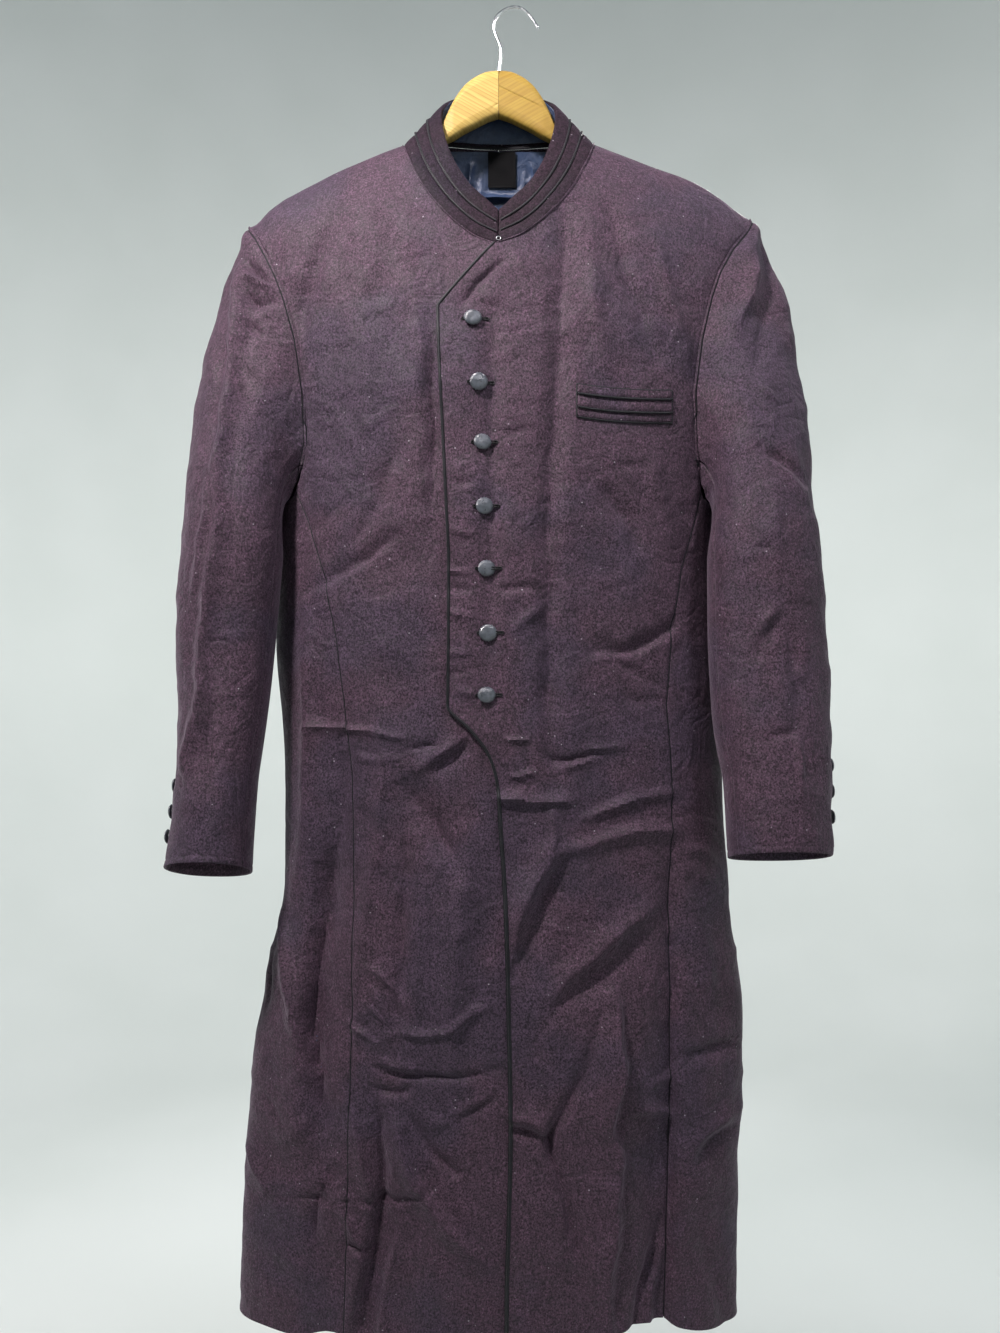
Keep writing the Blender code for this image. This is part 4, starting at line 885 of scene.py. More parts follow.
def relief(lines, x, z, gain=1.0):
    """Height of all the creases of a list at places of the cloth."""
    x, z = np.broadcast_arrays(np.asarray(x, float), np.asarray(z, float))
    flat = np.stack([x, z * 0, z], -1)
    x = x + 2.2 * noise(flat, 34, 3) + 0.9 * noise(flat, 13, 4)
    z = z + 2.2 * noise(flat, 34, 5) + 0.9 * noise(flat, 13, 6)
    out = np.zeros(x.shape)
    for left, right, line in lines:
        p = rounded(line)
        reach = max(left, right)
        near = (
            (x > p[:, 0].min() - reach) & (x < p[:, 0].max() + reach)
            & (z > p[:, 1].min() - reach) & (z < p[:, 1].max() + reach)
        )  # fmt: skip
        if not near.any():
            continue
        qx, qz = x[near], z[near]
        best = np.full(qx.shape, 1e9)
        lift = np.zeros(qx.shape)
        for a, b in zip(p[:-1], p[1:]):
            d = b[:2] - a[:2]
            t = np.clip(((qx - a[0]) * d[0] + (qz - a[1]) * d[1]) / (d @ d + 1e-9), 0, 1)
            ex, ez = qx - a[0] - t * d[0], qz - a[1] - t * d[1]
            far = np.hypot(ex, ez)
            wide = np.where(d[0] * ez - d[1] * ex > 0, left, right) * 0.92
            soft = 0.05 * wide + 0.6
            u = (np.sqrt(far**2 + soft**2) - soft) / wide
            h = (a[2] + (b[2] - a[2]) * t)
            h = (3.1 + 0.8 * float(smooth((reach - 12) / 8))) * np.sign(h) * np.abs(h) ** 0.74 * np.clip(1 - u, 0, 1) ** 1.75
            take = far < best
            best = np.where(take, far, best)
            lift = np.where(take, h, lift)
        out[near] += lift
    return out * gain


# ------------------------------------------------------------------------ noise
def lattice(ix, iy, iz, seed):
    h = (ix * 374761393 + iy * 668265263 + iz * 2147483647 + seed * 1274126177) & 0xFFFFFFFF
    h = ((h ^ (h >> 13)) * 1274126177) & 0xFFFFFFFF
    return ((h ^ (h >> 16)) & 0xFFFFFF) / 0xFFFFFF * 2 - 1


def noise(points, size, seed=0):
    """Smooth noise from -1 to 1 at points in millimetres."""
    q = points / size
    i = np.floor(q).astype(np.int64)
    f = q - i
    f = f * f * f * (f * (6 * f - 15) + 10)
    total = 0
    for dx in (0, 1):
        for dy in (0, 1):
            for dz in (0, 1):
                share = np.abs(1 - dx - f[..., 0]) * np.abs(1 - dy - f[..., 1]) * np.abs(1 - dz - f[..., 2])
                total = total + share * lattice(i[..., 0] + dx, i[..., 1] + dy, i[..., 2] + dz, seed)
    return total


def unrest(points):
    """Small swells that every hanging cloth has between its creases."""
    drawn = points * np.array([1, 1, 0.55])
    slanted = np.stack([points[..., 0] + 0.5 * points[..., 2], points[..., 1], 0.8 * points[..., 2]], -1)
    ridge = np.sqrt(noise(slanted, 47, 15) ** 2 + 0.004)  # fine, scattered wrinkles
    fine = np.sqrt(noise(drawn * np.array([-1, 1, 1]), 25, 16) ** 2 + 0.008)
    return (
        1.05 * noise(drawn, 62, 11)
        + 0.60 * noise(drawn, 27, 12)
        + 0.20 * noise(points, 12, 13)
        + 0.06 * noise(points, 5.5, 14)
        + 1.9 * (0.36 - ridge)
        - 1.0 * (0.36 - fine)
    )


# ---------------------------------------------------------------- shell makers
def grid_normals(p, inside):
    down, along = np.gradient(p, axis=0), np.gradient(p, axis=1)
    n = np.cross(down, along)
    n /= np.linalg.norm(n, axis=-1, keepdims=True) + 1e-12
    if np.sum(n * (p - inside)) < 0:
        n = -n
    return n


def steps(width, step, edge=(0, 0.6, 1.4, 2.6, 4.2)):
    """Shares of a width: narrow steps at both edges and even ones between."""
    edge = np.array(edge)
    count = max(2, int(round((width - 2 * edge[-1]) / step)))
    inner = np.linspace(edge[-1], width - edge[-1], count + 1)[1:-1]
    return np.concatenate([edge, inner, (width - edge)[::-1]]) / width


def from_edges(p):
    """Distance over the cloth from its top, bottom, first and last column."""
    down = np.concatenate([np.zeros_like(p[:1, :, 0]), np.cumsum(np.linalg.norm(np.diff(p, axis=0), axis=-1), 0)])
    along = np.concatenate([np.zeros_like(p[:, :1, 0]), np.cumsum(np.linalg.norm(np.diff(p, axis=1), axis=-1), 1)], 1)
    return down, down[-1:] - down, along, along[:, -1:] - along


def roll(distance, depth=1.3, width=3.0):
    """A seam draws the cloth in beside it."""
    return -depth * np.clip(1 - distance / width, 0, 1) ** 2


def flat_size(p):
    """Width, length and area in metres of the sheet the grid was laid from."""
    down, _, along, _ = from_edges(p)
    a, b = p[1:, 1:] - p[:-1, :-1], p[1:, :-1] - p[:-1, 1:]
    area = float(np.linalg.norm(np.cross(a, b), axis=-1).sum() / 2 * 1e-6)
    width, length = float(along[:, -1].max()) * MM, float(down[-1].max()) * MM
    return (round(width, 4), round(length, 4)), area


def make_mesh(name, points, faces, materials, material_of=None, sharp=50):
    mesh = bpy.data.meshes.new(name)
    mesh.from_pydata((np.asarray(points) * MM).tolist(), [], np.asarray(faces).tolist() if isinstance(faces, np.ndarray) else faces)
    for m in materials:
        mesh.materials.append(m)
    if material_of is not None:
        mesh.polygons.foreach_set("material_index", np.asarray(material_of, np.int32))
    mesh.shade_smooth()
    if sharp:
        mesh.set_sharp_from_angle(angle=math.radians(sharp))
    mesh.update()
    obj = bpy.data.objects.new(name, mesh)
    SCENE.collection.objects.link(obj)
    return obj


def shell(name, p, n, wall, outer, inner=None, rim=None, turned=None):
    """A closed wall of cloth: the grid, its inner side, and the turned edges.
    turned: cells at top, bottom and sides whose inside is the outer cloth."""
    rows, cols = p.shape[:2]
    count = rows * cols
    index = np.arange(count).reshape(rows, cols)
    a, b, c, d = index[:-1, :-1], index[1:, :-1], index[1:, 1:], index[:-1, 1:]
    quads = np.stack([a, b, c, d], -1).reshape(-1, 4)
    mid = (rows // 2, cols // 2)
    down = p[mid[0] + 1, mid[1]] - p[mid]
    along = p[mid[0], mid[1] + 1] - p[mid]
    flipped = np.dot(np.cross(down, along), n[mid]) < 0
    if flipped:
        quads = quads[:, ::-1]
    border = np.concatenate([index[0], index[1:, -1], index[-1, :-1][::-1], index[1:-1, 0][::-1]])
    ring = np.stack([border, np.roll(border, -1), np.roll(border, -1) + count, border + count], -1)
    if flipped:
        ring = ring[:, ::-1]
    faces = np.concatenate([quads, quads[:, ::-1] + count, ring])
    lined = np.ones((rows - 1, cols - 1))
    if turned:
        lined[: turned[0]] = lined[-turned[1] :] = 0
        lined[:, : turned[2]] = lined[:, -turned[2] :] = 0
    material_of = np.concatenate([np.zeros(len(quads)), lined.ravel(), np.zeros(len(ring)) if rim is None else np.full(len(ring), rim)])
    points = np.concatenate([p.reshape(-1, 3), (p - n * np.asarray(wall)[..., None] if np.ndim(wall) else p - n * wall).reshape(-1, 3)])
    mats = [outer, inner or outer]
    return make_mesh(name, points, faces, mats, material_of)


def keep(obj, slot, *nodes):
    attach(obj, "root")
    if nodes:
        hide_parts(*nodes)
    return obj


def cord_mesh(name, path, radius, made, cyclic=False, sides=12, caps=True):
    """A sewn round cord along a path, as one closed mesh."""
    path = np.asarray(path, float)
    if cyclic:
        t = np.roll(path, -1, 0) - np.roll(path, 1, 0)
    else:
        t = np.gradient(path, axis=0)
    t /= np.linalg.norm(t, axis=-1, keepdims=True)
    up = np.array([0.0, -1.0, 0.0])
    rings = []
    side = np.cross(t[0], up)
    if np.linalg.norm(side) < 0.1:
        side = np.cross(t[0], [1.0, 0, 0])
    radius = np.broadcast_to(radius, len(path))
    for k in range(len(path)):
        side = side - t[k] * (side @ t[k])
        side /= np.linalg.norm(side)
        other = np.cross(t[k], side)
        a = np.linspace(0, 2 * math.pi, sides, endpoint=False)
        rings.append(path[k] + radius[k] * (np.cos(a)[:, None] * side + np.sin(a)[:, None] * other))
    points = np.array(rings).reshape(-1, 3)
    n = len(path)
    faces = []
    for i in range(n if cyclic else n - 1):
        j = (i + 1) % n
        for s in range(sides):
            e = (s + 1) % sides
            faces.append([i * sides + s, i * sides + e, j * sides + e, j * sides + s])
    if not cyclic and caps:
        faces.append(list(range(sides))[::-1])
        faces.append([(n - 1) * sides + s for s in range(sides)])
    return make_mesh(name, points, faces, [made])


def smooth_path(path, step):
    """Evenly spaced points along a path of corners, by a soft spline."""
    path = np.asarray(path, float)
    s = np.concatenate([[0], np.cumsum(np.linalg.norm(np.diff(path, axis=0), axis=1))])
    at = np.linspace(0, s[-1], max(4, int(s[-1] / step)))
    out = []
    for k in range(path.shape[1]):
        names = Table("s v", np.stack([s, path[:, k]], 1).tolist())
        out.append(names.at("v", at))
    return np.stack(out, 1)


# -------------------------------------------------------------------- materials
class Shade:
    """A short way to write a material's nodes."""

    def __init__(self, name, **sockets):
        self.made = bpy.data.materials.new(name)
        self.made.use_nodes = True
        self.tree = self.made.node_tree
        self.shader = self.tree.nodes["Principled BSDF"]
        for key, value in sockets.items():
            self.shader.inputs[key.replace("_", " ")].default_value = value
        self.place = self.node("ShaderNodeTexCoord").outputs["Object"]

    def node(self, kind, **settings):
        made = self.tree.nodes.new(kind)
        for key, value in settings.items():
            setattr(made, key, value)
        return made

    def join(self, start, end):
        self.tree.links.new(start, end)

    def mapped(self, scale, turn=(0, 0, 0), at=None):
        node = self.node("ShaderNodeMapping")
        node.inputs["Scale"].default_value = scale
        node.inputs["Rotation"].default_value = turn
        self.join(at or self.place, node.inputs["Vector"])
        return node.outputs["Vector"]

    def noise(self, scale, detail=2.0, rough=0.5, at=None, distort=0.0):
        node = self.node("ShaderNodeTexNoise")
        node.inputs["Scale"].default_value = scale
        node.inputs["Detail"].default_value = detail
        node.inputs["Roughness"].default_value = rough
        node.inputs["Distortion"].default_value = distort
        self.join(at or self.place, node.inputs["Vector"])
        return node.outputs["Fac"]

    def wave(self, scale, at=None, distort=0.0, detail=2.0, direction="X", profile="SIN"):
        node = self.node("ShaderNodeTexWave", wave_type="BANDS", bands_direction=direction, wave_profile=profile)
        node.inputs["Scale"].default_value = scale
        node.inputs["Distortion"].default_value = distort
        node.inputs["Detail"].default_value = detail
        self.join(at or self.place, node.inputs["Vector"])
        return node.outputs["Fac"]

    def span(self, value, low, high, to_low=0.0, to_high=1.0, soft=True):
        node = self.node("ShaderNodeMapRange")
        if soft:
            node.interpolation_type = "SMOOTHSTEP"
        for key, v in zip(("From Min", "From Max", "To Min", "To Max"), (low, high, to_low, to_high)):
            node.inputs[key].default_value = v
        self.join(value, node.inputs["Value"])
        return node.outputs["Result"]

    def sums(self, kind, a, b, clamp=False):
        node = self.node("ShaderNodeMath", operation=kind, use_clamp=clamp)
        for socket, value in zip(node.inputs, (a, b)):
            if isinstance(value, (int, float)):
                socket.default_value = value
            else:
                self.join(value, socket)
        return node.outputs["Value"]

    def blend(self, share, a, b, kind="MIX"):
        node = self.node("ShaderNodeMix", data_type="RGBA", blend_type=kind)
        for socket, value in ((node.inputs["Factor"], share), (node.inputs["A"], a), (node.inputs["B"], b)):
            if isinstance(value, (int, float)):
                socket.default_value = value
            elif isinstance(value, tuple):
                socket.default_value = (*value, 1)
            else:
                self.join(value, socket)
        return next(o for o in node.outputs if o.type == "RGBA")

    def colour(self, value):
        self.join(value, self.shader.inputs["Base Color"])

    def rough(self, value):
        self.join(value, self.shader.inputs["Roughness"])

    def bump(self, height, distance, strength=1.0, after=None):
        node = self.node("ShaderNodeBump")
        node.inputs["Strength"].default_value = strength
        node.inputs["Distance"].default_value = distance
        self.join(height, node.inputs["Height"])
        if after is not None:
            self.join(after, node.inputs["Normal"])
        self.join(node.outputs["Normal"], self.shader.inputs["Normal"])
        return node.outputs["Normal"]


def wool(name, dark, light, cool_sheen_shade, sheen=0.12, level=0.26):
    """Milled wool: heathered threads, mottled depth of dye, fine pale lint, and broad cool blue-grey patches at random
    places, painted as sheen and bluish shade.
    """
    m = Shade(name, Sheen_Weight=sheen, Sheen_Roughness=0.45, Sheen_Tint=(0.86, 0.70, 0.88, 1), Specular_IOR_Level=level)
    broad = m.noise(9, 3, 0.55)
    cloud = m.noise(52, 3, 0.6)
    heather = m.noise(620, 3, 0.65, m.mapped((1, 1, 0.7)))
    thread = m.noise(1500, 2, 0.6, m.mapped((1, 1, 0.55)))
    grain = m.noise(290, 2, 0.6, m.mapped((1, 1, 1.3)))
    base = m.blend(m.sums("ADD", m.span(heather, 0.30, 0.70, 0.05, 0.65), m.span(grain, 0.35, 0.65, 0.0, 0.30)), dark, light)
    # broad patches of the cool colour: painted sheen and bluish shade, placed at random
    base = m.blend(m.span(broad, 0.44, 0.62, 0.0, 0.5), base, cool_sheen_shade)
    base = m.blend(0.35, base, m.blend(m.span(cloud, 0.3, 0.7), (0.36, 0.36, 0.38), (0.64, 0.62, 0.64)), "OVERLAY")
    base = m.blend(0.5, base, m.blend(m.span(thread, 0.3, 0.7), (0.12, 0.12, 0.13), (0.90, 0.88, 0.90)), "OVERLAY")
    mill = m.noise(640, 1, 0.6, m.mapped((1, 1, 0.85)))
    base = m.blend(1.0, base, m.blend(m.span(mill, 0.34, 0.66, 0, 1, False), (0.42, 0.42, 0.43), (1.68, 1.66, 1.68)), "MULTIPLY")
    slub = m.noise(260, 2, 0.6, m.mapped((1, 1, 0.16)))
    base = m.blend(1.0, base, m.blend(m.span(slub, 0.33, 0.67, 0, 1, False), (0.88, 0.88, 0.89), (1.12, 1.12, 1.12)), "MULTIPLY")
    lint = m.node("ShaderNodeTexVoronoi", feature="F1")
    lint.inputs["Scale"].default_value = 170
    m.join(m.place, lint.inputs["Vector"])
    speck = m.span(lint.outputs["Distance"], 0.06, 0.16, 1.0, 0.0)
    few = m.node("ShaderNodeSeparateColor")
    m.join(lint.outputs["Color"], few.inputs["Color"])
    speck = m.sums("MULTIPLY", speck, m.span(few.outputs[0], 0.86, 1.0, 0.0, 0.7))
    m.colour(m.blend(speck, base, (0.30, 0.27, 0.31)))
    m.rough(m.span(cloud, 0.3, 0.7, 0.60, 0.76))
    twill = m.wave(560, m.mapped((1, 1, 1), (0, 0.7, 0)), 1.6, 2, "X")
    first = m.bump(m.sums("ADD", m.sums("MULTIPLY", heather, 0.7), m.sums("MULTIPLY", twill, 0.12)), 0.0007, 0.55)
    second = m.bump(thread, 0.0004, 0.6, first)
    crush = m.sums("ABSOLUTE", m.sums("SUBTRACT", m.noise(26, 3, 0.5, None, 0.9), 0.5), 0.0)
    small = m.sums("ABSOLUTE", m.sums("SUBTRACT", m.noise(64, 2, 0.5, None, 0.7), 0.5), 0.0)
    m.bump(m.sums("ADD", crush, m.sums("MULTIPLY", small, 0.3)), 0.010, 0.45, second)
    return m.made


def satin(name, colour, shine, rough, rib=1100, turn=0.6, sheen=0.1, crumple=0.0, shine_level=0.6, fine=0.6):
    m = Shade(name, Specular_IOR_Level=shine_level, Sheen_Weight=sheen, Sheen_Roughness=0.3, Anisotropic=0.35)
    threads = m.wave(rib, m.mapped((1, 1, 1), (0, turn, 0)), 0.8, 1, "X")
    uneven = m.noise(240, 3, 0.6)
    m.colour(m.blend(m.sums("MULTIPLY", m.span(uneven, 0.3, 0.7), 0.6), colour, shine))
    m.rough(m.span(uneven, 0.3, 0.7, rough, rough + 0.13))
    height = m.sums("ADD", m.sums("MULTIPLY", threads, 0.25), m.sums("MULTIPLY", uneven, 0.6))
    after = m.bump(height, 0.00025, fine)
    if crumple:
        m.bump(m.noise(95, 4, 0.6, m.mapped((1, 1, 0.6)), 0.6), 0.0022, crumple, after)
    return m.made


# DEEP and PALE are the wool's own colours; the third is a painted cool sheen and shade
DEEP, PALE, COOL_SHEEN_SHADE = (0.0230, 0.0120, 0.0190), (0.0500, 0.0285, 0.0435), (0.0215, 0.0170, 0.0300)
WOOL = wool("outer_wool", DEEP, PALE, COOL_SHEEN_SHADE)
# the collar's wool is the coat's wool darkened: painted shade on the collar, with its own painted cool sheen and shade
SHADED_COLLAR_WOOL = wool("collar_wool_painted_shade", tuple(0.38 * c for c in DEEP), tuple(0.38 * c for c in PALE), (0.010, 0.0085, 0.0145), 0.05, 0.12)
PIPING = satin("piping_satin", (0.0045, 0.0045, 0.006), (0.010, 0.010, 0.014), 0.46, 1500, shine_level=0.30, fine=0.3)
BUTTON = satin("button_satin", (0.024, 0.029, 0.038), (0.069, 0.079, 0.098), 0.27, 700, 0.9, 0.05, shine_level=0.95, fine=0.8)
# the lining's own steel blue, darkened further as painted shade for the shade it lies in inside the coat
LINING_DARKENED_FOR_SHADE = satin("lining_satin", (0.011, 0.024, 0.061), (0.025, 0.045, 0.094), 0.40, 900, 0.2, 0.12, 1.0, shine_level=0.5)
# near-black tape for sheets behind seams, slits and gaps: painted shadow where the gaps show
SHADOW_TAPE = satin("seam_tape_painted_shadow", (0.004, 0.004, 0.006), (0.010, 0.010, 0.013), 0.6, 900, shine_level=0.2)
# black for the buttonhole cords, and for their slits, whose darkness is painted shade
THREAD_AND_SLIT_SHADE = satin("thread_and_slit_shade", (0.003, 0.003, 0.004), (0.008, 0.008, 0.010), 0.5, 2600, shine_level=0.25)

m = Shade("label_weave", Specular_IOR_Level=0.12, Sheen_Weight=0.0)
rows = m.wave(520, None, 0.3, 1, "Z")
warp = m.wave(430, None, 0.3, 1, "X")
m.colour(m.blend(m.sums("MULTIPLY", rows, warp), (0.002, 0.002, 0.0025), (0.007, 0.007, 0.008)))
m.rough(m.span(rows, 0, 1, 0.7, 0.85))
m.bump(m.sums("ADD", rows, warp), 0.00018, 0.8)
LABEL = m.made

m = Shade("label_edge_weave", Specular_IOR_Level=0.4)
m.colour(m.blend(m.wave(700, None, 0.2, 1, "Z"), (0.018, 0.018, 0.02), (0.05, 0.05, 0.055)))
m.bump(m.wave(700, None, 0.2, 1, "Z"), 0.0002, 0.8)
LABEL_EDGE = m.made


def wood(name, pale, mid, dark, turn, strength):
    """Planed and lightly varnished softwood, its grain along the arm."""
    m = Shade(name, Specular_IOR_Level=0.25, Coat_Weight=0.03, Coat_Roughness=0.4)
    along = m.mapped((7, 60, 150), (0, 0, 0), m.mapped((1, 1, 1), (0, turn, 0)))
    grain = m.noise(1.6, 5, 0.62, along, 0.7)
    pores = m.noise(9, 3, 0.7, along)
    rings = m.node("ShaderNodeTexWave", wave_type="BANDS", bands_direction="Z", wave_profile="SAW")
    rings.inputs["Scale"].default_value = 0.62
    rings.inputs["Distortion"].default_value = 9.0
    rings.inputs["Detail"].default_value = 3
    rings.inputs["Detail Scale"].default_value = 0.6
    m.join(along, rings.inputs["Vector"])
    rings.inputs["Phase Offset"].default_value = 3 * turn
    base = m.blend(m.span(grain, 0.34, 0.66), mid, pale)
    base = m.blend(m.sums("MULTIPLY", m.span(rings.outputs["Fac"], 0.55, 1.0), strength), base, dark)
    base = m.blend(m.sums("MULTIPLY", m.span(pores, 0.60, 0.74), strength * 0.8), base, dark)
    worn = m.noise(26, 3, 0.6)
    base = m.blend(m.span(worn, 0.5, 0.75, 0.0, 0.22), base, mid)
    m.colour(base)
    m.rough(m.span(grain, 0.3, 0.7, 0.5, 0.68))
    m.bump(m.sums("ADD", pores, m.sums("MULTIPLY", grain, 0.6)), 0.0003, 0.5)
    return m.made


WOOD_RIGHT = wood("hanger_wood_right", (0.415, 0.300, 0.087), (0.320, 0.215, 0.054), (0.190, 0.112, 0.025), -0.5, 0.5)
WOOD_LEFT = wood("hanger_wood_left", (0.275, 0.184, 0.035), (0.228, 0.140, 0.024), (0.157, 0.089, 0.015), 0.5, 0.35)

m = Shade("hook_steel", Metallic=1.0)
scratch = m.noise(420, 3, 0.7, m.mapped((1, 1, 0.15)))
tarnish = m.noise(60, 3, 0.6)
m.colour(m.blend(m.span(tarnish, 0.4, 0.7), (0.74, 0.75, 0.77), (0.52, 0.52, 0.53)))
m.rough(m.span(scratch, 0.3, 0.7, 0.13, 0.30))
m.bump(scratch, 0.0001, 0.3)
STEEL = m.made


# ------------------------------------------------------------- the body's cloth
def row_levels(form, side, step, low=TOP_Z, extra=()):
    """Levels of dense rows, evenly spaced over the cloth from shoulder to hem."""
    fine = np.linspace(low, HEM_Z, 5000)
    h = np.clip((fine - FREE_Z) / (TOP_Z - FREE_Z), 0, 1) ** 2
    x = CENTRE_X + side * 120
    z = fine + h * (SHOULDER.at("z", x) - TOP_Z)
    y = form(np.full_like(z, x), z)
    s = np.concatenate([[0], np.cumsum(np.hypot(np.diff(z), np.diff(y)))])
    levels = np.interp(steps(s[-1], step) * s[-1], s, fine)
    for value in extra:
        levels[np.argmin(np.abs(levels - value))] = value
    return levels


def dense_panel(form, side, neck_at, tip, inner, outer, levels, c):
    n = len(neck_at) - 1
    at = np.interp(c, np.arange(n + 1), neck_at)
    neck_x, neck_z = neckline(at, side)
    shoulder = float(neckline(8, side)[0])
    beyond = shoulder + (tip - shoulder) * (c - n) / 4
    top_x = np.where(c <= n, neck_x, beyond)
    top_z = np.where(c <= n, neck_z, SHOULDER.at("z", beyond))
    share_top = (top_x - top_x[0]) / (top_x[-1] - top_x[0])
    share_low = c / c[-1]
    grid = []
    for level in levels:
        h = np.clip((level - FREE_Z) / (TOP_Z - FREE_Z), 0, 1) ** 2
        z = level + h * (top_z - TOP_Z)
        share = h * share_top + (1 - h) * share_low
        x = inner(z[0]) + (outer(z[-1]) - inner(z[0])) * share
        if level == levels[0]:
            x, z = top_x, top_z
        if level < -1109:
            z = hem_z(x, z)
        grid.append((x, z))
    return np.array([g[0] for g in grid]), np.array([g[1] for g in grid])


def front_lift(x, z):
    """Creases of everything seen from the front, by place."""
    return relief(FRONT_CREASES, x, z)


def dress(p, n, calm=None):
    """Height of creases and unrest over a piece of the body, by its facing."""
    x, y, z = p[..., 0], p[..., 1], p[..., 2]
    ahead = smooth((-n[..., 1] - 0.15) / 0.5)
    behind = smooth((n[..., 1] - 0.15) / 0.5)
    aside = smooth((np.abs(n[..., 0]) - 0.45) / 0.4)
    lift = unrest(p)
    if (ahead > 0).any():
        lift = lift + ahead * front_lift(x, z)
    if (behind > 0).any():
        lift = lift + behind * relief(BACK_CREASES, x, z)
    if (aside > 0).any():
        lift = lift + aside * relief(SIDE_CREASES, y, z, 0.26)
    if calm is not None:
        lift = lift * calm
    return lift * (1 - 0.38 * smooth((-1125 - z) / 85))


def under_arm_calm(p):
    """The cloth lies quieter where a sleeve hangs close beside it."""
    near = np.minimum(np.abs(p[..., 0] - BODY.at("left", p[..., 2])), np.abs(BODY.at("right", p[..., 2]) - p[..., 0]))
    return 1 - 0.75 * smooth((p[..., 2] + 840) / 60) * smooth((34 - near) / 22)


BODY_STEP = 2.75
SHEETS = []


def over_edge(z):
    return float(FRONT_EDGE.straight("over", z)) if z > -654 else float(FRONT_EDGE.at("over", z))


def declare(obj, p):
    (width, length), area = flat_size(p)
    area = min(max(area, 0.31 * width * length), width * length)
    SHEETS.append((obj.name, width, length, round(area, 5)))


def body_piece(name, node, base, n, inside, seams, outer=WOOL):
    """One panel: rolls at its seams, creases by its facing, then its wall.
    Its normals are the form's own, so that neighbours meet along their seams."""
    p = inset(base, 0.36, 0.2)
    top, bottom, first, last = from_edges(base)
    calm = under_arm_calm(p)
    z = p[..., 2]
    if node.startswith("back"):
        calm = calm * (1 - 0.92 * smooth((124 - np.abs(p[..., 0] - CENTRE_X)) / 26) * smooth((z + 258) / 26))
    lift = dress(p, n, calm)
    near_top = smooth(top / 16) if "top" in seams else 1.0
    lift = lift * near_top
    for edge, distance in (("first", first), ("last", last)):
        if edge + "_arm" in seams:
            arm = smooth((z - UNDERARM_Z + 25) / 25)
            lift = lift * (1 - arm * (1 - smooth(distance / 16)))
    if "top" in seams:
        lift = lift + roll(top, 0.7)
    for edge, distance in (("first", first), ("last", last)):
        if edge in seams:
            # the seam's own pucker, short and uneven along it
            pucker = 0.30 * noise(np.stack([z * 0, z * 0, z], -1) + {"first": 0, "last": 500}[edge], 6.5, 21) * np.exp(-distance / 7)
            lift = lift + roll(distance, 0.8) + pucker * smooth(distance / 1.5)
    lift = lift + roll(bottom, 0.5, 2.2) + 0.35 * np.exp(-(((bottom - 22) / 5) ** 2))
    q = p + n * lift[..., None]
    obj = shell(name, q, grid_normals(q, inside), CLOTH, outer, LINING_DARKENED_FOR_SHADE, turned=(8, 14, 7))
    keep(obj, "outer_cloth", node)
    return obj, base, q


def centre_line(p):
    inside = p.copy()
    inside[..., 0] = CENTRE_X
    inside[..., 1] = -3
    inside[..., 2] = np.minimum(p[..., 2] - 20, -200) if p[..., 2].max() > -240 else p[..., 2]
    return inside


PIECES = {}
for side_name, word in (("l", "left"), ("r", "right")):
    side = SIDE[side_name]
    over = side_name == "l"
    c = steps(232, BODY_STEP) * 10
    levels = row_levels(front_y, side, BODY_STEP, extra=(-292.9,) if over else ())
    x, z = dense_panel(
        front_y, side, FRONT_NECK, TIP[side_name],
        over_edge if over else (lambda h: float(FRONT_EDGE.straight("under", h))),
        outer_line(side_name, "front"), levels, c,
    )  # fmt: skip
    base = surface(front_y, x, z, over_rise(x, z) if over else under_sink(x))
    PIECES["front", side_name] = body_piece(
        f"coat_front_{word}", f"front_{word}", base, form_normal(front_y, x, z), centre_line(base),
        {"top", "last", "last_arm"},
    )  # fmt: skip

    c = steps(205, 4.1) * 7
    levels = row_levels(back_y, side, 4.1)
    x, z = dense_panel(back_y, side, BACK_NECK, TIP[side_name], back_inner, outer_line(side_name, "back"), levels, c)
    base = surface(back_y, x, z)
    PIECES["back", side_name] = body_piece(
        f"coat_back_{word}", f"back_{word}", base, form_normal(back_y, x, z), centre_line(base),
        {"top", "first", "last", "last_arm"},
    )  # fmt: skip

    ahead = steps(88, 3.2) * 4
    behind = np.concatenate([np.linspace(0, 3, 22)[1:-2], 3 - np.array([0.16, 0.1, 0.05, 0.02, 0])])
    fine = steps(UNDERARM_Z - HEM_Z, 3.2)
    levels = UNDERARM_Z + (HEM_Z - UNDERARM_Z) * fine
    base = np.array([side_line(side_name, float(level), ahead, behind) for level in levels])
    n = np.array([side_line(side_name, float(level), ahead, behind, True) for level in levels])
    for _ in range(6):
        n[:, 3:-3] = (n[:, 2:-4] + 2 * n[:, 3:-3] + n[:, 4:-2]) / 4
    n /= np.linalg.norm(n, axis=-1, keepdims=True)
    PIECES["side", side_name] = body_piece(
        f"coat_side_{word}", f"side_panel_{word}", base, n, centre_line(base),
        {"first", "last", "top"},
    )  # fmt: skip

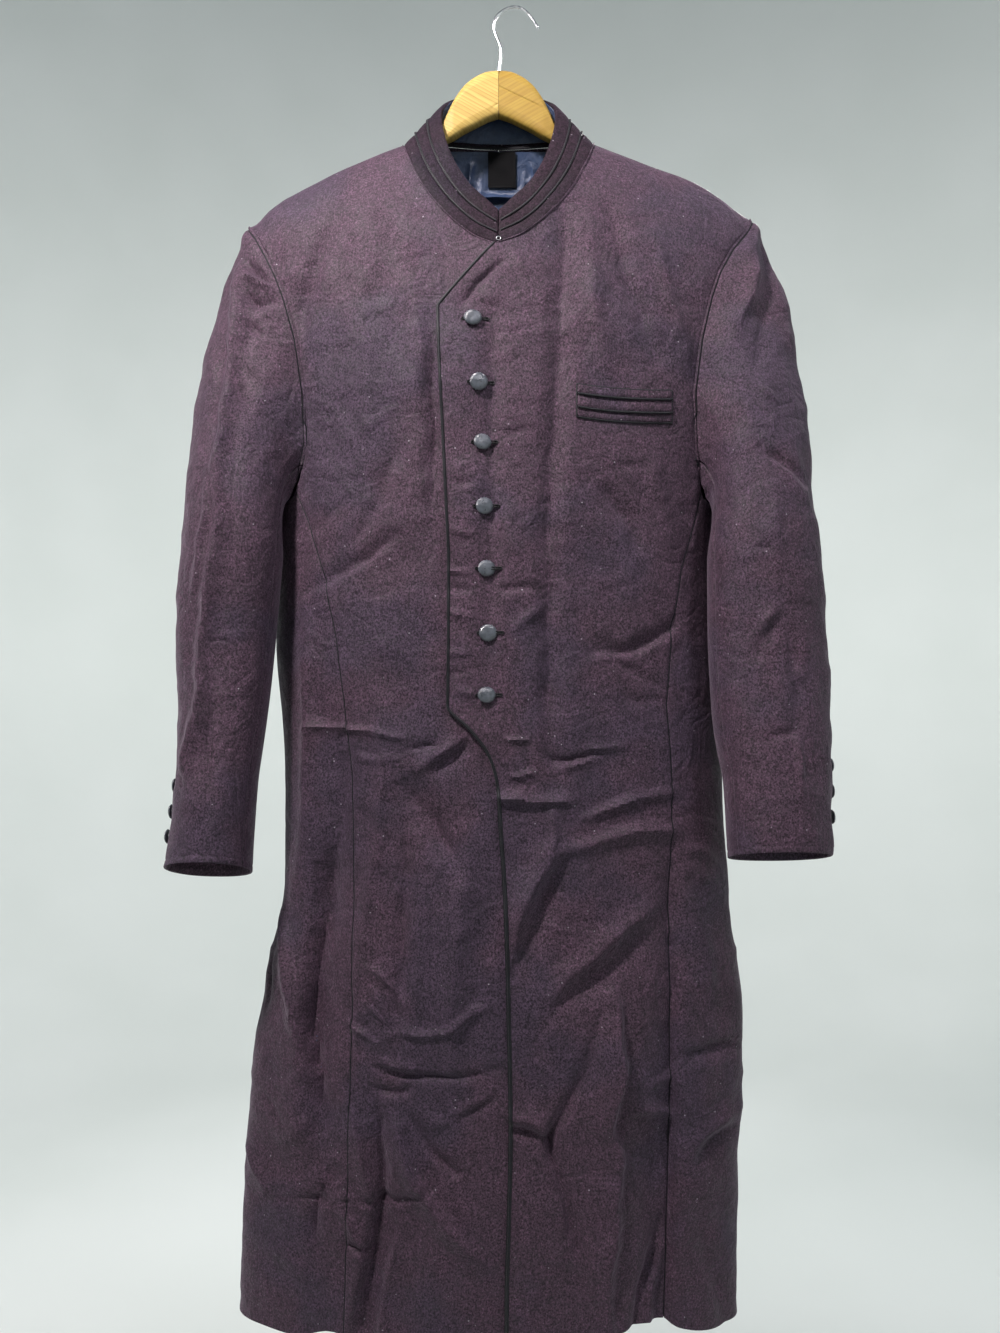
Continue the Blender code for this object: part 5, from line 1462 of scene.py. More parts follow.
def seam_tape(name, one, other, wide=5.0):
    """The pressed seam allowances behind a seam: they close it from inside, and their near-black is painted shadow in
    the seam's gap.
    """
    lines = []
    for grid in (one, other):  # each runs from its seam edge into its piece
        s = np.concatenate([[0], np.cumsum(np.linalg.norm(np.diff(grid[:, 0], axis=0), axis=1))])
        at = np.linspace(0, s[-1], 240)
        into = np.concatenate([[0], np.cumsum(np.linalg.norm(np.diff(grid[len(grid) // 2], axis=0), axis=1))])
        deep = int(np.argmin(np.abs(into - wide)))
        lines.append([np.stack([np.interp(at, s, grid[:, c, k]) for k in range(3)], 1) for c in (0, deep)])
    mid = (lines[0][0] + lines[1][0]) / 2
    p = np.stack([lines[0][1], 0.3 * lines[0][1] + 0.7 * mid, mid, 0.3 * lines[1][1] + 0.7 * mid, lines[1][1]], 1)
    p[0] += (p[1] - p[0]) * 0.5
    n = grid_normals(p, centre_line(p))
    for _ in range(3):
        n[1:-1] = (n[:-2] + 2 * n[1:-1] + n[2:]) / 4
    n /= np.linalg.norm(n, axis=-1, keepdims=True)
    deep = np.array([CLOTH + 0.25, CLOTH - 0.1, CLOTH - 0.5, CLOTH - 0.1, CLOTH + 0.25])[None, :, None]
    obj = shell(name, p - n * deep, n, 0.5, SHADOW_TAPE)
    keep(obj, "lining_satin")
    # a dark cord painted as the shadow line where the two pieces meet
    keep(cord_mesh(name.replace("tape", "line"), (mid + n[:, 2] * 0.1)[1:-1], 0.62, SHADOW_TAPE, sides=5), "lining_satin")


for side_name, word in (("l", "left"), ("r", "right")):
    front, back, aside = (PIECES[part, side_name][2] for part in ("front", "back", "side"))
    start = int(np.argmin(np.abs(front[:, -1, 2] - aside[0, 0, 2])))
    seam_tape(f"seam_tape_front_{word}", front[start:, ::-1], aside)
    start = int(np.argmin(np.abs(back[:, -1, 2] - aside[0, -1, 2])))
    seam_tape(f"seam_tape_back_{word}", back[start:, ::-1], aside[:, ::-1])
seam_tape("seam_tape_centre_back", PIECES["back", "l"][2], PIECES["back", "r"][2])

for (part, side_name), (obj, base, q) in PIECES.items():
    word = "left" if side_name == "l" else "right"
    on = [f"hanger_arm_{word}"] if part != "side" else [f"coat_front_{word}", f"coat_back_{word}"]
    declare(obj, base)


# ---------------------------------------------------------------- the sleeves
def sleeve_grid(side_name, loops, table, start, stop, width, step):
    side = SIDE[side_name]
    cuff = float(table.rows[:, 0].min())
    marks = CAP_STEPS + [1.0]
    lows = SLEEVE_LEVELS + [cuff]
    count = len(CAP_STEPS) + len(lows)
    shares = steps(width, step)
    a0, a1 = start[0], stop[0]

    def rows(kappa):
        kappa = np.asarray(kappa, float)[:, None]
        low = np.clip((kappa - 3) / (count - 4), 0, 1)
        left = start[0] + (start[1] - start[0]) * low
        right = stop[0] + (stop[1] - stop[0]) * low
        alpha = left + (right - left) * shares
        a = np.where(alpha > 1, alpha - 2, alpha)
        t = np.interp(kappa, range(8), marks) + 0 * a
        level = np.interp(kappa, range(7, 7 + len(lows)), lows) + 0 * a
        ring = sleeve_ring(table, level, a, side)
        by_front = np.stack([np.interp(np.abs(a), run(loops[0]), loops[0][:, k]) for k in range(3)], -1)
        by_back = np.stack([np.interp(np.abs(a), run(loops[1]), loops[1][:, k]) for k in range(3)], -1)
        begin = np.where((a >= 0)[..., None], by_front, by_back)
        end = sleeve_ring(table, np.full_like(a, RING_Z), a, side)
        span = np.linalg.norm(end - begin, axis=-1, keepdims=True)
        c = 1 - np.abs(a)
        head = CAP_HEAD[side_name] * smooth((np.abs(a) - 0.5) / 0.5)
        outward = np.stack([side * (0.22 + 0.75 * c + head), -0.30 * np.sin(math.pi * a), -1 + 0.55 * c], -1)
        outward /= np.linalg.norm(outward, axis=-1, keepdims=True)
        below = sleeve_ring(table, np.full_like(a, RING_Z - 12), a, side) - end
        below /= np.linalg.norm(below, axis=-1, keepdims=True)
        t = t[..., None]
        cap = (
            (1 + 2 * t) * (1 - t) ** 2 * begin
            + t * (1 - t) ** 2 * span * 0.9 * outward
            + t * t * (3 - 2 * t) * end
            + t * t * (t - 1) * span * 0.9 * below
        )
        return np.where((kappa < 7)[..., None], cap, ring)

    probe = np.linspace(0, 7 + len(lows) - 1, 900)
    path = rows(probe)[:, len(shares) // 2]
    s = np.concatenate([[0], np.cumsum(np.linalg.norm(np.diff(path, axis=0), axis=1))])
    kappa = np.interp(steps(s[-1], step, (0, 0.6, 1.4, 2.4, 3.4, 4.4, 5.4, 6.4, 7.6)) * s[-1], s, probe)
    kappa[0], kappa[-1] = 0, probe[-1]
    points = clear_of_body(rows(kappa), side)
    points[0] += (points[1] - points[0]) / np.linalg.norm(points[1] - points[0], axis=-1, keepdims=True) * 0.95
    return points


def mirrored(lines, middle, shift):
    """The same kind of creases on a side that isn't seen, moved about."""
    out = []
    for k, (left, right, line) in enumerate(lines):
        if k % 3 == 1:
            continue
        dz = shift + 9 * math.sin(2.3 * k)
        gain = 0.75 + 0.3 * math.sin(1.7 * k + 1)
        moved = [(2 * middle - x + 5 * math.sin(1.1 * k), z + dz, h * gain) for x, z, h in line]
        out.append((right, left, moved))
    return out


for side_name, word in (("l", "left"), ("r", "right")):
    side = SIDE[side_name]
    table = SLEEVE_R if side_name == "r" else SLEEVE_L
    loops = armhole_loop(front_corners(side_name), side_corners(side_name), back_corners(side_name), side_name)
    seen = SLEEVE_R_CREASES if side_name == "r" else SLEEVE_L_CREASES
    middle = -258 if side_name == "r" else 224
    hidden = mirrored(seen, middle, -14)
    for part, start, stop, width in (
        ("upper", (0.22, 0.27), (1.25, 1.03), 190),
        ("under", (-0.75, -0.97), (0.22, 0.27), 150),
    ):
        base = sleeve_grid(side_name, loops, table, start, stop, width, 2.6 if part == "upper" else 2.9)
        p = inset(base, 0.42)
        inside = np.stack([
            np.clip(p[..., 0], *sorted((table.at("inner", p[..., 2]), table.at("outer", p[..., 2])), key=lambda v: float(np.mean(v)))) * 0
            + (table.at("inner", p[..., 2]) + table.at("outer", p[..., 2])) / 2,
            np.full(p.shape[:2], -28.0),
            p[..., 2] - 60 * smooth((p[..., 2] + 480) / 200),
        ], -1)  # fmt: skip
        n = grid_normals(p, inside)
        top, bottom, first, last = from_edges(base)
        ahead, behind = smooth(-n[..., 1] * 1.8), smooth(n[..., 1] * 1.8)
        away = smooth(side * n[..., 0] * 1.6 + 0.7)  # quiet beside the body
        x, z = p[..., 0], p[..., 2]
        lift = 1.7 * unrest(p) + ahead * relief(seen, x, z, 1.36) + behind * relief(hidden, x, z)
        aside = smooth((side * n[..., 0] - 0.5) / 0.4)
        lift = lift + aside * relief(SIDE_CREASES, p[..., 1] + 24, z - 95, 0.3)
        lift = lift * away * smooth(top / 15) * smooth((bottom + 4) / 12)
        lift = lift + roll(first) + roll(last) + roll(top, 1.1, 3.0) + roll(bottom, 0.5, 1.8)
        # the sleeve head stands up where the shoulder ends
        lift = lift + 2.6 * smooth((z + 285) / 70) * smooth(top / 5) * np.exp(-(((top - 9) / 9) ** 2))
        lift = lift - 0.42 * np.exp(-(((bottom - 6.0) / 0.9) ** 2))  # stitched cuff
        q = p + n * lift[..., None]
        obj = shell(f"coat_sleeve_{word}_{part}", q, grid_normals(q, inside), CLOTH, WOOL, LINING_DARKENED_FOR_SHADE, turned=(10, 20, 6))
        keep(obj, "outer_cloth", f"sleeve_{word}_{part}")
        declare(obj, base)
        PIECES["sleeve", side_name, part] = (obj, base, q)
        # a near-black tape behind the armhole seam: painted shadow in its gap
        nq = grid_normals(q, inside)
        back_in = q[0] - q[3]
        back_in /= np.linalg.norm(back_in, axis=-1, keepdims=True)
        tape = np.stack([q[4] - nq[4] * (CLOTH + 0.35), q[0] - nq[2] * (CLOTH * 0.7), q[0] + back_in * (2.6 if part == "upper" else 5.5) - nq[2] * (CLOTH + 0.9)])[:, ::2]
        keep(shell(f"armhole_shadow_tape_{word}_{part}", tape, grid_normals(tape, inside[:3, ::2]), 0.5, SHADOW_TAPE), "lining_satin")


# ------------------------------------------------------------------ the collar
def neck_seam(at, side):
    x, z = neckline(at, side)
    if at > 8:
        return surface(back_y, x, z)
    if at == 8:
        return np.array([float(x), RIDGE_Y, float(z)])
    return surface(front_y, x, z, float(over_rise(x, z) if side > 0 else under_sink(x)))


def collar_line(at, share):
    """The collar's seam line, lifted 0.35 mm towards its top, and its top line, front to front; share is not used."""
    at = np.asarray(at, float)
    half = np.where(at <= 11, at, 22 - at)
    side = np.where(at <= 11, -1.0, 1.0)
    low = np.array([neck_seam(h, s) for h, s in zip(half, side)])
    top = np.stack(
        [CENTRE_X + side * COLLAR.at("top_x", half), COLLAR.at("top_y", half), COLLAR.at("top_z", half)],
        -1,
    )
    rise = top - low
    low = low + rise / np.linalg.norm(rise, axis=-1, keepdims=True) * 0.35
    return low, top


def soften(line, times):
    """Evens a line without moving its ends."""
    line = line.copy()
    for _ in range(times):
        line[1:-1] = 0.25 * line[:-2] + 0.5 * line[1:-1] + 0.25 * line[2:]
    return line


at = np.concatenate([np.array([0, 0.03, 0.07, 0.14, 0.22]), np.linspace(0.3, 21.7, 230), 22 - np.array([0.22, 0.14, 0.07, 0.03, 0])])
low, top = collar_line(at, 0)
low, top = soften(low, 4), soften(top, 14)
for end, side in ((0, 1), (-1, -1)):  # the two ends all but meet in front
    low[end, 0] += side * 0.75
    top[end, 0] += side * 1.2


def collar_grid(shares):
    shares = np.asarray(shares, float)[:, None, None]
    return low[None] + (top - low)[None] * shares


def collar_out(grid, out):
    n = np.cross(np.gradient(grid, axis=1), np.gradient(grid, axis=0))
    n /= np.linalg.norm(n, axis=-1, keepdims=True)
    return grid + n * out, n


height = 44.0
shares = 1 - np.concatenate([[0, 0.4, 1, 1.8, 2.8], np.arange(4.2, height - 3.2, 1.45), height - np.array([2.8, 1.6, 0.8, 0.3, 0])]) / height
grid = collar_grid(shares)
flat, n = collar_out(grid, 0)
s = shares[:, None] * height
lift = np.zeros(grid.shape[:2])
for line in (0.6, 0.3):
    lift = lift - 0.55 * np.exp(-(((s - line * height) / 1.5) ** 2))
for a, b in ((0, 0.3), (0.3, 0.6), (0.6, 1.0)):
    t = np.clip((s / height - a) / (b - a), 0, 1)
    lift = lift + 0.55 * np.sin(math.pi * t) ** 0.8 * ((s / height >= a) & (s / height <= b))
along = np.concatenate([[0], np.cumsum(np.linalg.norm(np.diff(grid[0], axis=0), axis=1))])
ends = np.minimum(along, along[-1] - along)[None]
lift = lift - 0.7 * np.clip(1 - ends / 1.6, 0, 1) ** 2
lift = lift - 0.5 * np.clip(1 - s / 1.6, 0, 1) ** 2 - 0.9 * np.clip(1 - (height - s) / 1.8, 0, 1) ** 2
lift = lift + 0.45 * noise(grid, 24, 31) * smooth(ends / 10) + 0.16 * noise(grid, 8, 32)
q = flat + n * lift[..., None]
obj = shell("coat_collar", q, n, COLLAR_WALL, SHADED_COLLAR_WOOL)
keep(obj, "collar_cloth", "collar")
declare(obj, grid[:, ::2])

inner_shares = np.linspace(0.96, 0.08, 15)
inner, n = (v[:, 3:-3] for v in collar_out(collar_grid(inner_shares), 0))
inner = inner - n * (COLLAR_WALL + 1.05)
inner = inner - n * (0.28 * noise(inner * np.array([1, 1, 0.5]), 9, 41) + 0.22)[..., None]
obj = shell("collar_lining", inner, n, LINING_WALL, LINING_DARKENED_FOR_SHADE)
keep(obj, "lining_satin", "collar_facing")
declare(obj, inner[:, ::2])

# the tab behind the front slit, in the near-black tape: painted shade in the slit
tab, tn = collar_out(collar_grid(np.linspace(0.97, 0.01, 18)), 0)
tab = tab - tn * (COLLAR_WALL + 0.3)
ends = (tab[:, 1] + tab[:, -2]) / 2 + np.array([0, 0.2, 0])
tab = np.stack([tab[:, -9], tab[:, -6], ends, tab[:, 5], tab[:, 8]], 1)
keep(shell("collar_slit_tab", tab, grid_normals(tab, tab + np.array([0, 30, 0])), 0.5, SHADOW_TAPE), "lining_satin")

# a near-black tape over the neck seam inside: painted shadow in the gap under the collar
pick = slice(4, -4)
rise = (top - low)[pick]
rise = rise / np.linalg.norm(rise, axis=-1, keepdims=True)
inward = -collar_out(collar_grid([0.04, 0.02]), 0)[1][0][pick]
foot = low[pick]
tape = np.stack([
    foot + rise * 1.3 + inward * (COLLAR_WALL + 2.0), foot + rise * 0.6 + inward * (COLLAR_WALL + 2.5),
    foot - rise * 0.4 + inward * (COLLAR_WALL + 2.6) + np.array([0, 0, -0.3]), foot + inward * (COLLAR_WALL + 1.9) + np.array([0, 0, -1.6]),
])  # fmt: skip
keep(shell("neck_shadow_tape", tape, grid_normals(tape, tape - inward[None] * 30), 0.5, SHADOW_TAPE), "lining_satin")

for name, share in (("upper", 0.6), ("lower", 0.3)):
    path, n = collar_out(collar_grid([share + 0.02, share, share - 0.02]), 0)
    path = path[1] + n[1] * 0.5
    keep(cord_mesh(f"piping_collar_{name}", path[1:-1], PIPING_R, PIPING), "piping_satin", f"collar_piping_{name}")

# --------------------------------------------------- lining of the upper back
drops = np.concatenate([np.linspace(-1.4, -95, 44), np.linspace(-101, -225, 16)])
span = np.linspace(1, -1, 84)
grid = []
for drop in drops:
    half = 66 + 26 * smooth(-drop / 90)
    x = CENTRE_X + half * span
    z = COLLAR.at("low_z", 11 - 2.0 * np.abs(span)) + drop
    grid.append(surface(back_y, x, z, -(CLOTH + 2.5) * np.ones(len(x))))
base = np.array(grid)
inside = base + np.array([0, 30, 0])
n = grid_normals(base, inside)
LINING_CREASES = [
    (6, 5, [(-45, -215, 2.0), (-43, -180, 2.6), (-44, -152, 2.2), (-42, -131, 0)]),
    (5, 6, [(-33, -205, 1.4), (-32, -170, 1.8), (-34, -140, 0)]),
    (5, 4, [(8, -200, 1.0), (7, -165, 1.8), (9, -138, 0)]),
    (4, 6, [(20, -210, 1.2), (17, -172, 2.4), (19, -148, 2.0), (16, -132, 0)]),
    (6, 4, [(-52, -168, 0), (-30, -164, 2.2), (-8, -167, 3.0), (14, -163, 2.2), (30, -166, 0)]),
    (3, 5, [(-40, -175, 0), (-16, -177, -2.2), (8, -175, -1.6), (22, -178, 0)]),
    (4, 4, [(8, -152, 0), (18, -148, 1.8), (32, -150, 0)]),
    (3, 4, [(-60, -140, 0), (-48, -150, 1.8), (-40, -160, 0)]),
    (4, 5, [(-70, -160, 0), (-58, -190, 1.5), (-50, -220, 0)]),
    (5, 4, [(30, -158, 0), (36, -190, 1.6), (34, -220, 0)]),
]
x, z = base[..., 0], base[..., 2]
apart = np.hypot(np.clip(np.abs(x + 11.7) - 15, 0, 99), np.clip(np.abs(z + 137.4) - 17, 0, 99))
crumple = relief(LINING_CREASES, x, z) + 0.7 * noise(base * np.array([1, 1, 0.5]), 17, 51) + 0.4 * noise(base, 8, 52)
crumple = np.maximum(crumple, -0.9) * (0.12 + 0.88 * smooth(apart / 7)) + 0.15
from_top, _, a, b = from_edges(base)
crumple = crumple * smooth(np.minimum(a, b) / 6) * smooth(from_top / 5)
q = base + n * crumple[..., None]
obj = shell("lining_upper_back", q, grid_normals(q, inside), LINING_WALL, LINING_DARKENED_FOR_SHADE)
keep(obj, "lining_satin", "lining_back")
declare(obj, base)

# bare woven neck label, with its turned selvedges
x = np.linspace(2.0, -25.5, 34)
base = np.array([surface(back_y, x, np.full(34, z), -(CLOTH + LINING_WALL + 3.4) * np.ones(34)) for z in np.linspace(-121.8, -153, 40)])
n = grid_normals(base, base + np.array([0, 30, 0]))
a, b, c_, d = from_edges(base)
edge = np.minimum(np.minimum(a, b), np.minimum(c_, d))
lift = 0.22 * np.clip(1 - edge / 1.6, 0, 1) ** 0.5 * (edge < 1.6) + 0.25 * noise(base, 9, 61) + 0.1
lift = lift - 0.35 * np.exp(-((np.maximum(np.minimum(a, b), np.minimum(c_, d)) - 0) / 2.2) ** 2)
q = base + n * lift[..., None]
obj = shell("neck_label_bare", q, n, 0.6, LABEL)
keep(obj, "label_weave", "neck_label")
declare(obj, base)

# ------------------------------------------------- piping of the shaped edge
z = np.concatenate([np.arange(-243, -297.5, -1.6), [-298.6, -299.6, -300.8], np.arange(-302.4, -650, -2.4), np.arange(-651, -760, -1.4), np.arange(-761, -1211, -2.6), [-1212]])
x = np.array([over_edge(v) for v in z])
edge = surface(front_y, x, z, OVERLAP_RISE - 0.45)
flat = np.gradient(edge[:, [0, 2]], axis=0)
away = np.stack([flat[:, 1], -flat[:, 0]], 1)
away /= np.linalg.norm(away, axis=1, keepdims=True)
edge[:, 0] += away[:, 0] * (PIPING_R + 0.30)
edge[:, 2] += away[:, 1] * (PIPING_R + 0.30)
lift = (unrest(edge) + front_lift(edge[:, 0] + 1.5, edge[:, 2])) * smooth((-241 - z) / 16)
edge[:, 1] -= lift
edge = np.concatenate([edge[:1], soften(edge, 2)[1:-1], edge[-1:]])
keep(cord_mesh("piping_front_edge", edge, 1.4, PIPING), "piping_satin", "front_edge_piping")
# a flat black flange beside the piping; below the waist it widens towards the under front as a painted shadow band
side_of = np.stack([away[:, 0], 0 * z, away[:, 1]], 1)
reach = 1.1 + 1.5 * smooth((-700 - z) / 60)
flange = np.stack([edge + side_of * (-2.4) + np.array([0, 1.5, 0]), edge + np.array([0, 0.55, 0]), edge + side_of * (reach * 0.7)[:, None] + np.array([0, 0.85, 0]), edge + side_of * reach[:, None] + np.array([0, 1.3, 0])], 1)
keep(shell("piping_front_flange_and_shadow", flange, grid_normals(flange, flange + np.array([0, 30, 0])), 0.4, PIPING), "piping_satin")


# ----------------------------------------------------------------- the buttons
def on_front(x, z, out=0.0):
    """Place and outward direction on the over front as it is dressed."""
    e = 1.5
    spots = []
    for dx, dz in ((0, 0), (e, 0), (-e, 0), (0, e), (0, -e)):
        at = surface(front_y, x + dx, z + dz, float(over_rise(x + dx, z + dz)))
        at = at + np.array([0, -1, 0]) * float(front_lift(x + dx, z + dz) + unrest(at[None])[0])
        spots.append(at)
    n = np.cross(spots[1] - spots[2], spots[3] - spots[4])
    n /= np.linalg.norm(n)
    if n[1] > 0:
        n = -n
    return spots[0] + n * out, n


def button(name, node, centre, normal, radius, height, seed, squash=1.0, twist=0.0):
    """A covered button: satin drawn over a dome and gathered under its rim."""
    rings = [
        (0.0, 1.0), (0.22, 0.995), (0.42, 0.97), (0.60, 0.925), (0.75, 0.86), (0.87, 0.77),
        (0.95, 0.66), (0.99, 0.56), (1.0, 0.48), (0.985, 0.41), (0.93, 0.35), (0.80, 0.31),
        (0.62, 0.30), (0.40, 0.295), (0.38, 0.2), (0.38, 0.08),
    ]  # fmt: skip
    around = 64
    n = np.asarray(normal, float) / np.linalg.norm(normal)
    u = np.cross([0, 0, 1.0], n)
    u /= np.linalg.norm(u)
    v = np.cross(n, u)
    points = []
    for k, (r, h) in enumerate(rings[1:]):
        a = np.linspace(0, 2 * math.pi, around, endpoint=False) + twist
        fold = 1 + (0.012 + 0.03 * smooth((r - 0.75) / 0.25)) * np.sin(17 * a + seed) * (0.6 + 0.4 * np.sin(5 * a + 2 * seed))
        wide = radius * r * (fold if 5 <= k <= 11 else 1)
        lump = 1 + 0.02 * np.sin(2 * a + seed) + 0.015 * np.sin(3 * a + 2.1 * seed)
        up = height * h * lump + 0.16 * np.sin(a + seed) * r
        points.append(centre + np.cos(a)[:, None] * u * (wide * squash)[:, None] if False else
                      centre + (np.cos(a) * wide * 1.0)[:, None] * u + (np.sin(a) * wide * squash)[:, None] * v + up[:, None] * n)
    points = np.concatenate([[centre + n * height], *points])
    faces = [[0, 1 + (s + 1) % around, 1 + s] for s in range(around)]
    for k in range(len(rings) - 2):
        for s in range(around):
            e = (s + 1) % around
            a, b = 1 + k * around, 1 + (k + 1) * around
            faces.append([a + s, a + e, b + e, b + s])
    last = 1 + (len(rings) - 2) * around
    faces.append([last + s for s in range(around)][::-1])
    faces = [f[::-1] for f in faces]
    obj = make_mesh(name, points, faces, [BUTTON])
    return keep(obj, "button_satin", *([node] if node else []))


FRONT_BUTTONS = [
    (-37.7, -312.2, 0.86, 0.35), (-32.6, -368.5, 0.97, 0.0), (-29.4, -420.9, 0.88, -0.1), (-27.7, -477.2, 0.93, 0.15),
    (-25.9, -531.9, 0.9, -0.2), (-24.2, -588.6, 0.95, 0.1), (-25.7, -643.6, 0.9, 0.25),
]  # fmt: skip
for number, (x, z, squash, tilt) in enumerate(FRONT_BUTTONS, 1):
    place_at, n = on_front(x, z)
    lean = n + np.array([0.16 * tilt, 0, 0.12 * math.sin(3.1 * number)])
    button(f"covered_button_{number}", f"button_front_{number}", place_at, lean, BUTTON_R, BUTTON_H, number * 1.3, squash)
    # the worked buttonhole it passes through: a corded edge round a slit, the slit a dark sheet painted as the shade in
    # its opening
    outline = []
    half, tall = 11.8, 1.0
    for a in np.linspace(0, 2 * math.pi, 41)[:-1]:
        dx = (half - tall) * (1 if math.cos(a) > 0 else -1) + tall * math.cos(a)
        outline.append(on_front(x + 2.2 + dx, z + tall * math.sin(a) + 0.012 * dx, 0.5)[0])
    loop = cord_mesh(f"buttonhole_cord_{number}", outline, 0.62, THREAD_AND_SLIT_SHADE, cyclic=True, sides=8)
    keep(loop, "piping_satin")
    slit = np.array([[on_front(x + 2.2 + dx, z + dz, 0.34)[0] for dx in np.linspace(-half + 0.8, half - 0.8, 16)] for dz in (0.7, 0, -0.7)])
    keep(shell(f"buttonhole_slit_shade_{number}", slit, grid_normals(slit, slit + np.array([0, 30, 0])), 0.3, THREAD_AND_SLIT_SHADE), "piping_satin")

for side_name, word, levels in (("r", "right", (-725.5, -748.3, -770.2)), ("l", "left", (-707.4, -730, -752.9))):
    table = SLEEVE_R if side_name == "r" else SLEEVE_L
    side = SIDE[side_name]
    for number, z in enumerate(levels, 1):
        on = sleeve_ring(table, z, 0.99, side)
        button(
            f"covered_cuff_button_{word}_{number}", f"button_cuff_{word}_{number}",
            on + np.array([side * 0.5, 0, 0]), (side, 0.05, 0.02 * side), CUFF_BUTTON_R, CUFF_BUTTON_H, number + 4.0, 0.96,
        )  # fmt: skip

# ------------------------------------------------------------------ the pocket
def pocket_spots(x, z, out):
    sag = 2.6 * (1 - ((x - 97.7) / 43.2) ** 2)
    z = z + 4.7 - sag
    at = surface(front_y, x, z, over_rise(x, z) + out)
    at[..., 1] -= front_lift(x, z) + unrest(at)
    return at


x = 54.5 + 86.5 * steps(86.5, 1.5, (0, 0.4, 0.9, 1.6))
rows_z = np.concatenate([[-374.5, -374.7, -375.1, -375.7], np.arange(-376.6, -400.9, -0.85), [-401.4, -401.9, -402.3, -402.5]])
X, Z = np.meshgrid(x, rows_z)
bulge = np.zeros(X.shape)
for a, b, h in ((-374.5, -382.5, 0.8), (-382.5, -394.5, 0.9), (-394.5, -402.5, 0.6)):
    t = np.clip((a - Z) / (a - b), 0, 1)
    bulge = bulge + h * np.sin(math.pi * t) ** 0.7 * ((Z <= a) & (Z >= b))
bulge = bulge - 0.4 * np.exp(-(((Z + 382.5) / 1.0) ** 2)) - 0.4 * np.exp(-(((Z + 394.5) / 1.0) ** 2))
bulge = bulge + 0.5 * np.clip(1 - (-374.5 - Z) / 2.0, 0, 1)
side_fall = np.minimum(X - 54.5, 141 - X)
bulge = bulge - 0.9 * np.clip(1 - side_fall / 1.3, 0, 1) ** 1.5 - 0.5 * np.clip(1 - (Z + 402.5) / 1.0, 0, 1) ** 2
base = pocket_spots(X, Z, 0.35 + WELT_WALL + 0 * X)
n = grid_normals(base, base + np.array([0, 30, 0]))
q = base + n * (bulge + 0.12 * noise(base, 7, 71))[..., None]
obj = shell("pocket_band", q, n, WELT_WALL, WOOL)
keep(obj, "outer_cloth", "pocket_welt")
declare(obj, base)
for name, z in (("upper", -382.5), ("lower", -394.5)):
    x = np.linspace(54.8, 140.7, 60)
    path = pocket_spots(x, np.full(60, z), np.full(60, 0.35 + WELT_WALL + 1.15))
    keep(cord_mesh(f"piping_pocket_{name}", path, 1.1, PIPING), "piping_satin", f"pocket_piping_{name}")

# a dark cord round the welt's edges: painted shadow line where the band meets the coat
around = [(54.1 + 87.3 * t, -373.9) for t in np.linspace(0, 1, 50)] + [(141.4, -373.9 - 29.0 * t) for t in np.linspace(0.04, 0.96, 16)]
around += [(141.4 - 87.3 * t, -402.9) for t in np.linspace(0, 1, 50)] + [(54.1, -402.9 + 29.0 * t) for t in np.linspace(0.04, 0.96, 16)]
ax, az = np.array(around).T
path = pocket_spots(ax, az, np.full(len(ax), 0.55))
keep(cord_mesh("pocket_edge_shadow_cord", path, 0.9, PIPING, cyclic=True, sides=8), "piping_satin")

# ------------------------------------------------ the eye of the collar's hook and eye
corner = low[-1] + (top[-1] - low[-1]) * 0.06
hook_at = np.array([CENTRE_X, corner[1] - 1.2, corner[2]])
ring = [hook_at + np.array([2.0 * math.cos(a), 0, 1.5 * math.sin(a)]) for a in np.linspace(0, 2 * math.pi, 33)[:-1]]
keep(cord_mesh("collar_eye", ring, 0.48, STEEL, cyclic=True), "hook_steel", "collar_hook_and_eye")


# ------------------------------------------------------------------ the hanger
ARM = Table(
    "x top bottom thick",
    [
        (0, -59.5, -102.5, 15),
        (10, -60.5, -106, 15),
        (21, -65, -111.5, 15),
        (32, -73.5, -117, 15),
        (41, -86, -122.5, 15),
        (48, -99.5, -126, 13),
        (52, -109, -128.5, 12),
        (56, -115, -132, 12),
        (75, -132, -144, 11),
        (92, -147, -158, 11),
        (130, -158, -178, 14),
        (165, -171.5, -194, 17),
        (190, -186, -207, 18),
        (206, -197.5, -215, 18),
    ],
)
GROOVES = {1: [(-14.5, -77.2, 30.2, -98.6), (-14.5, -101.9, 28.4, -124.3)], -1: [(-57.4, -119.6, -14.5, -92.6)]}


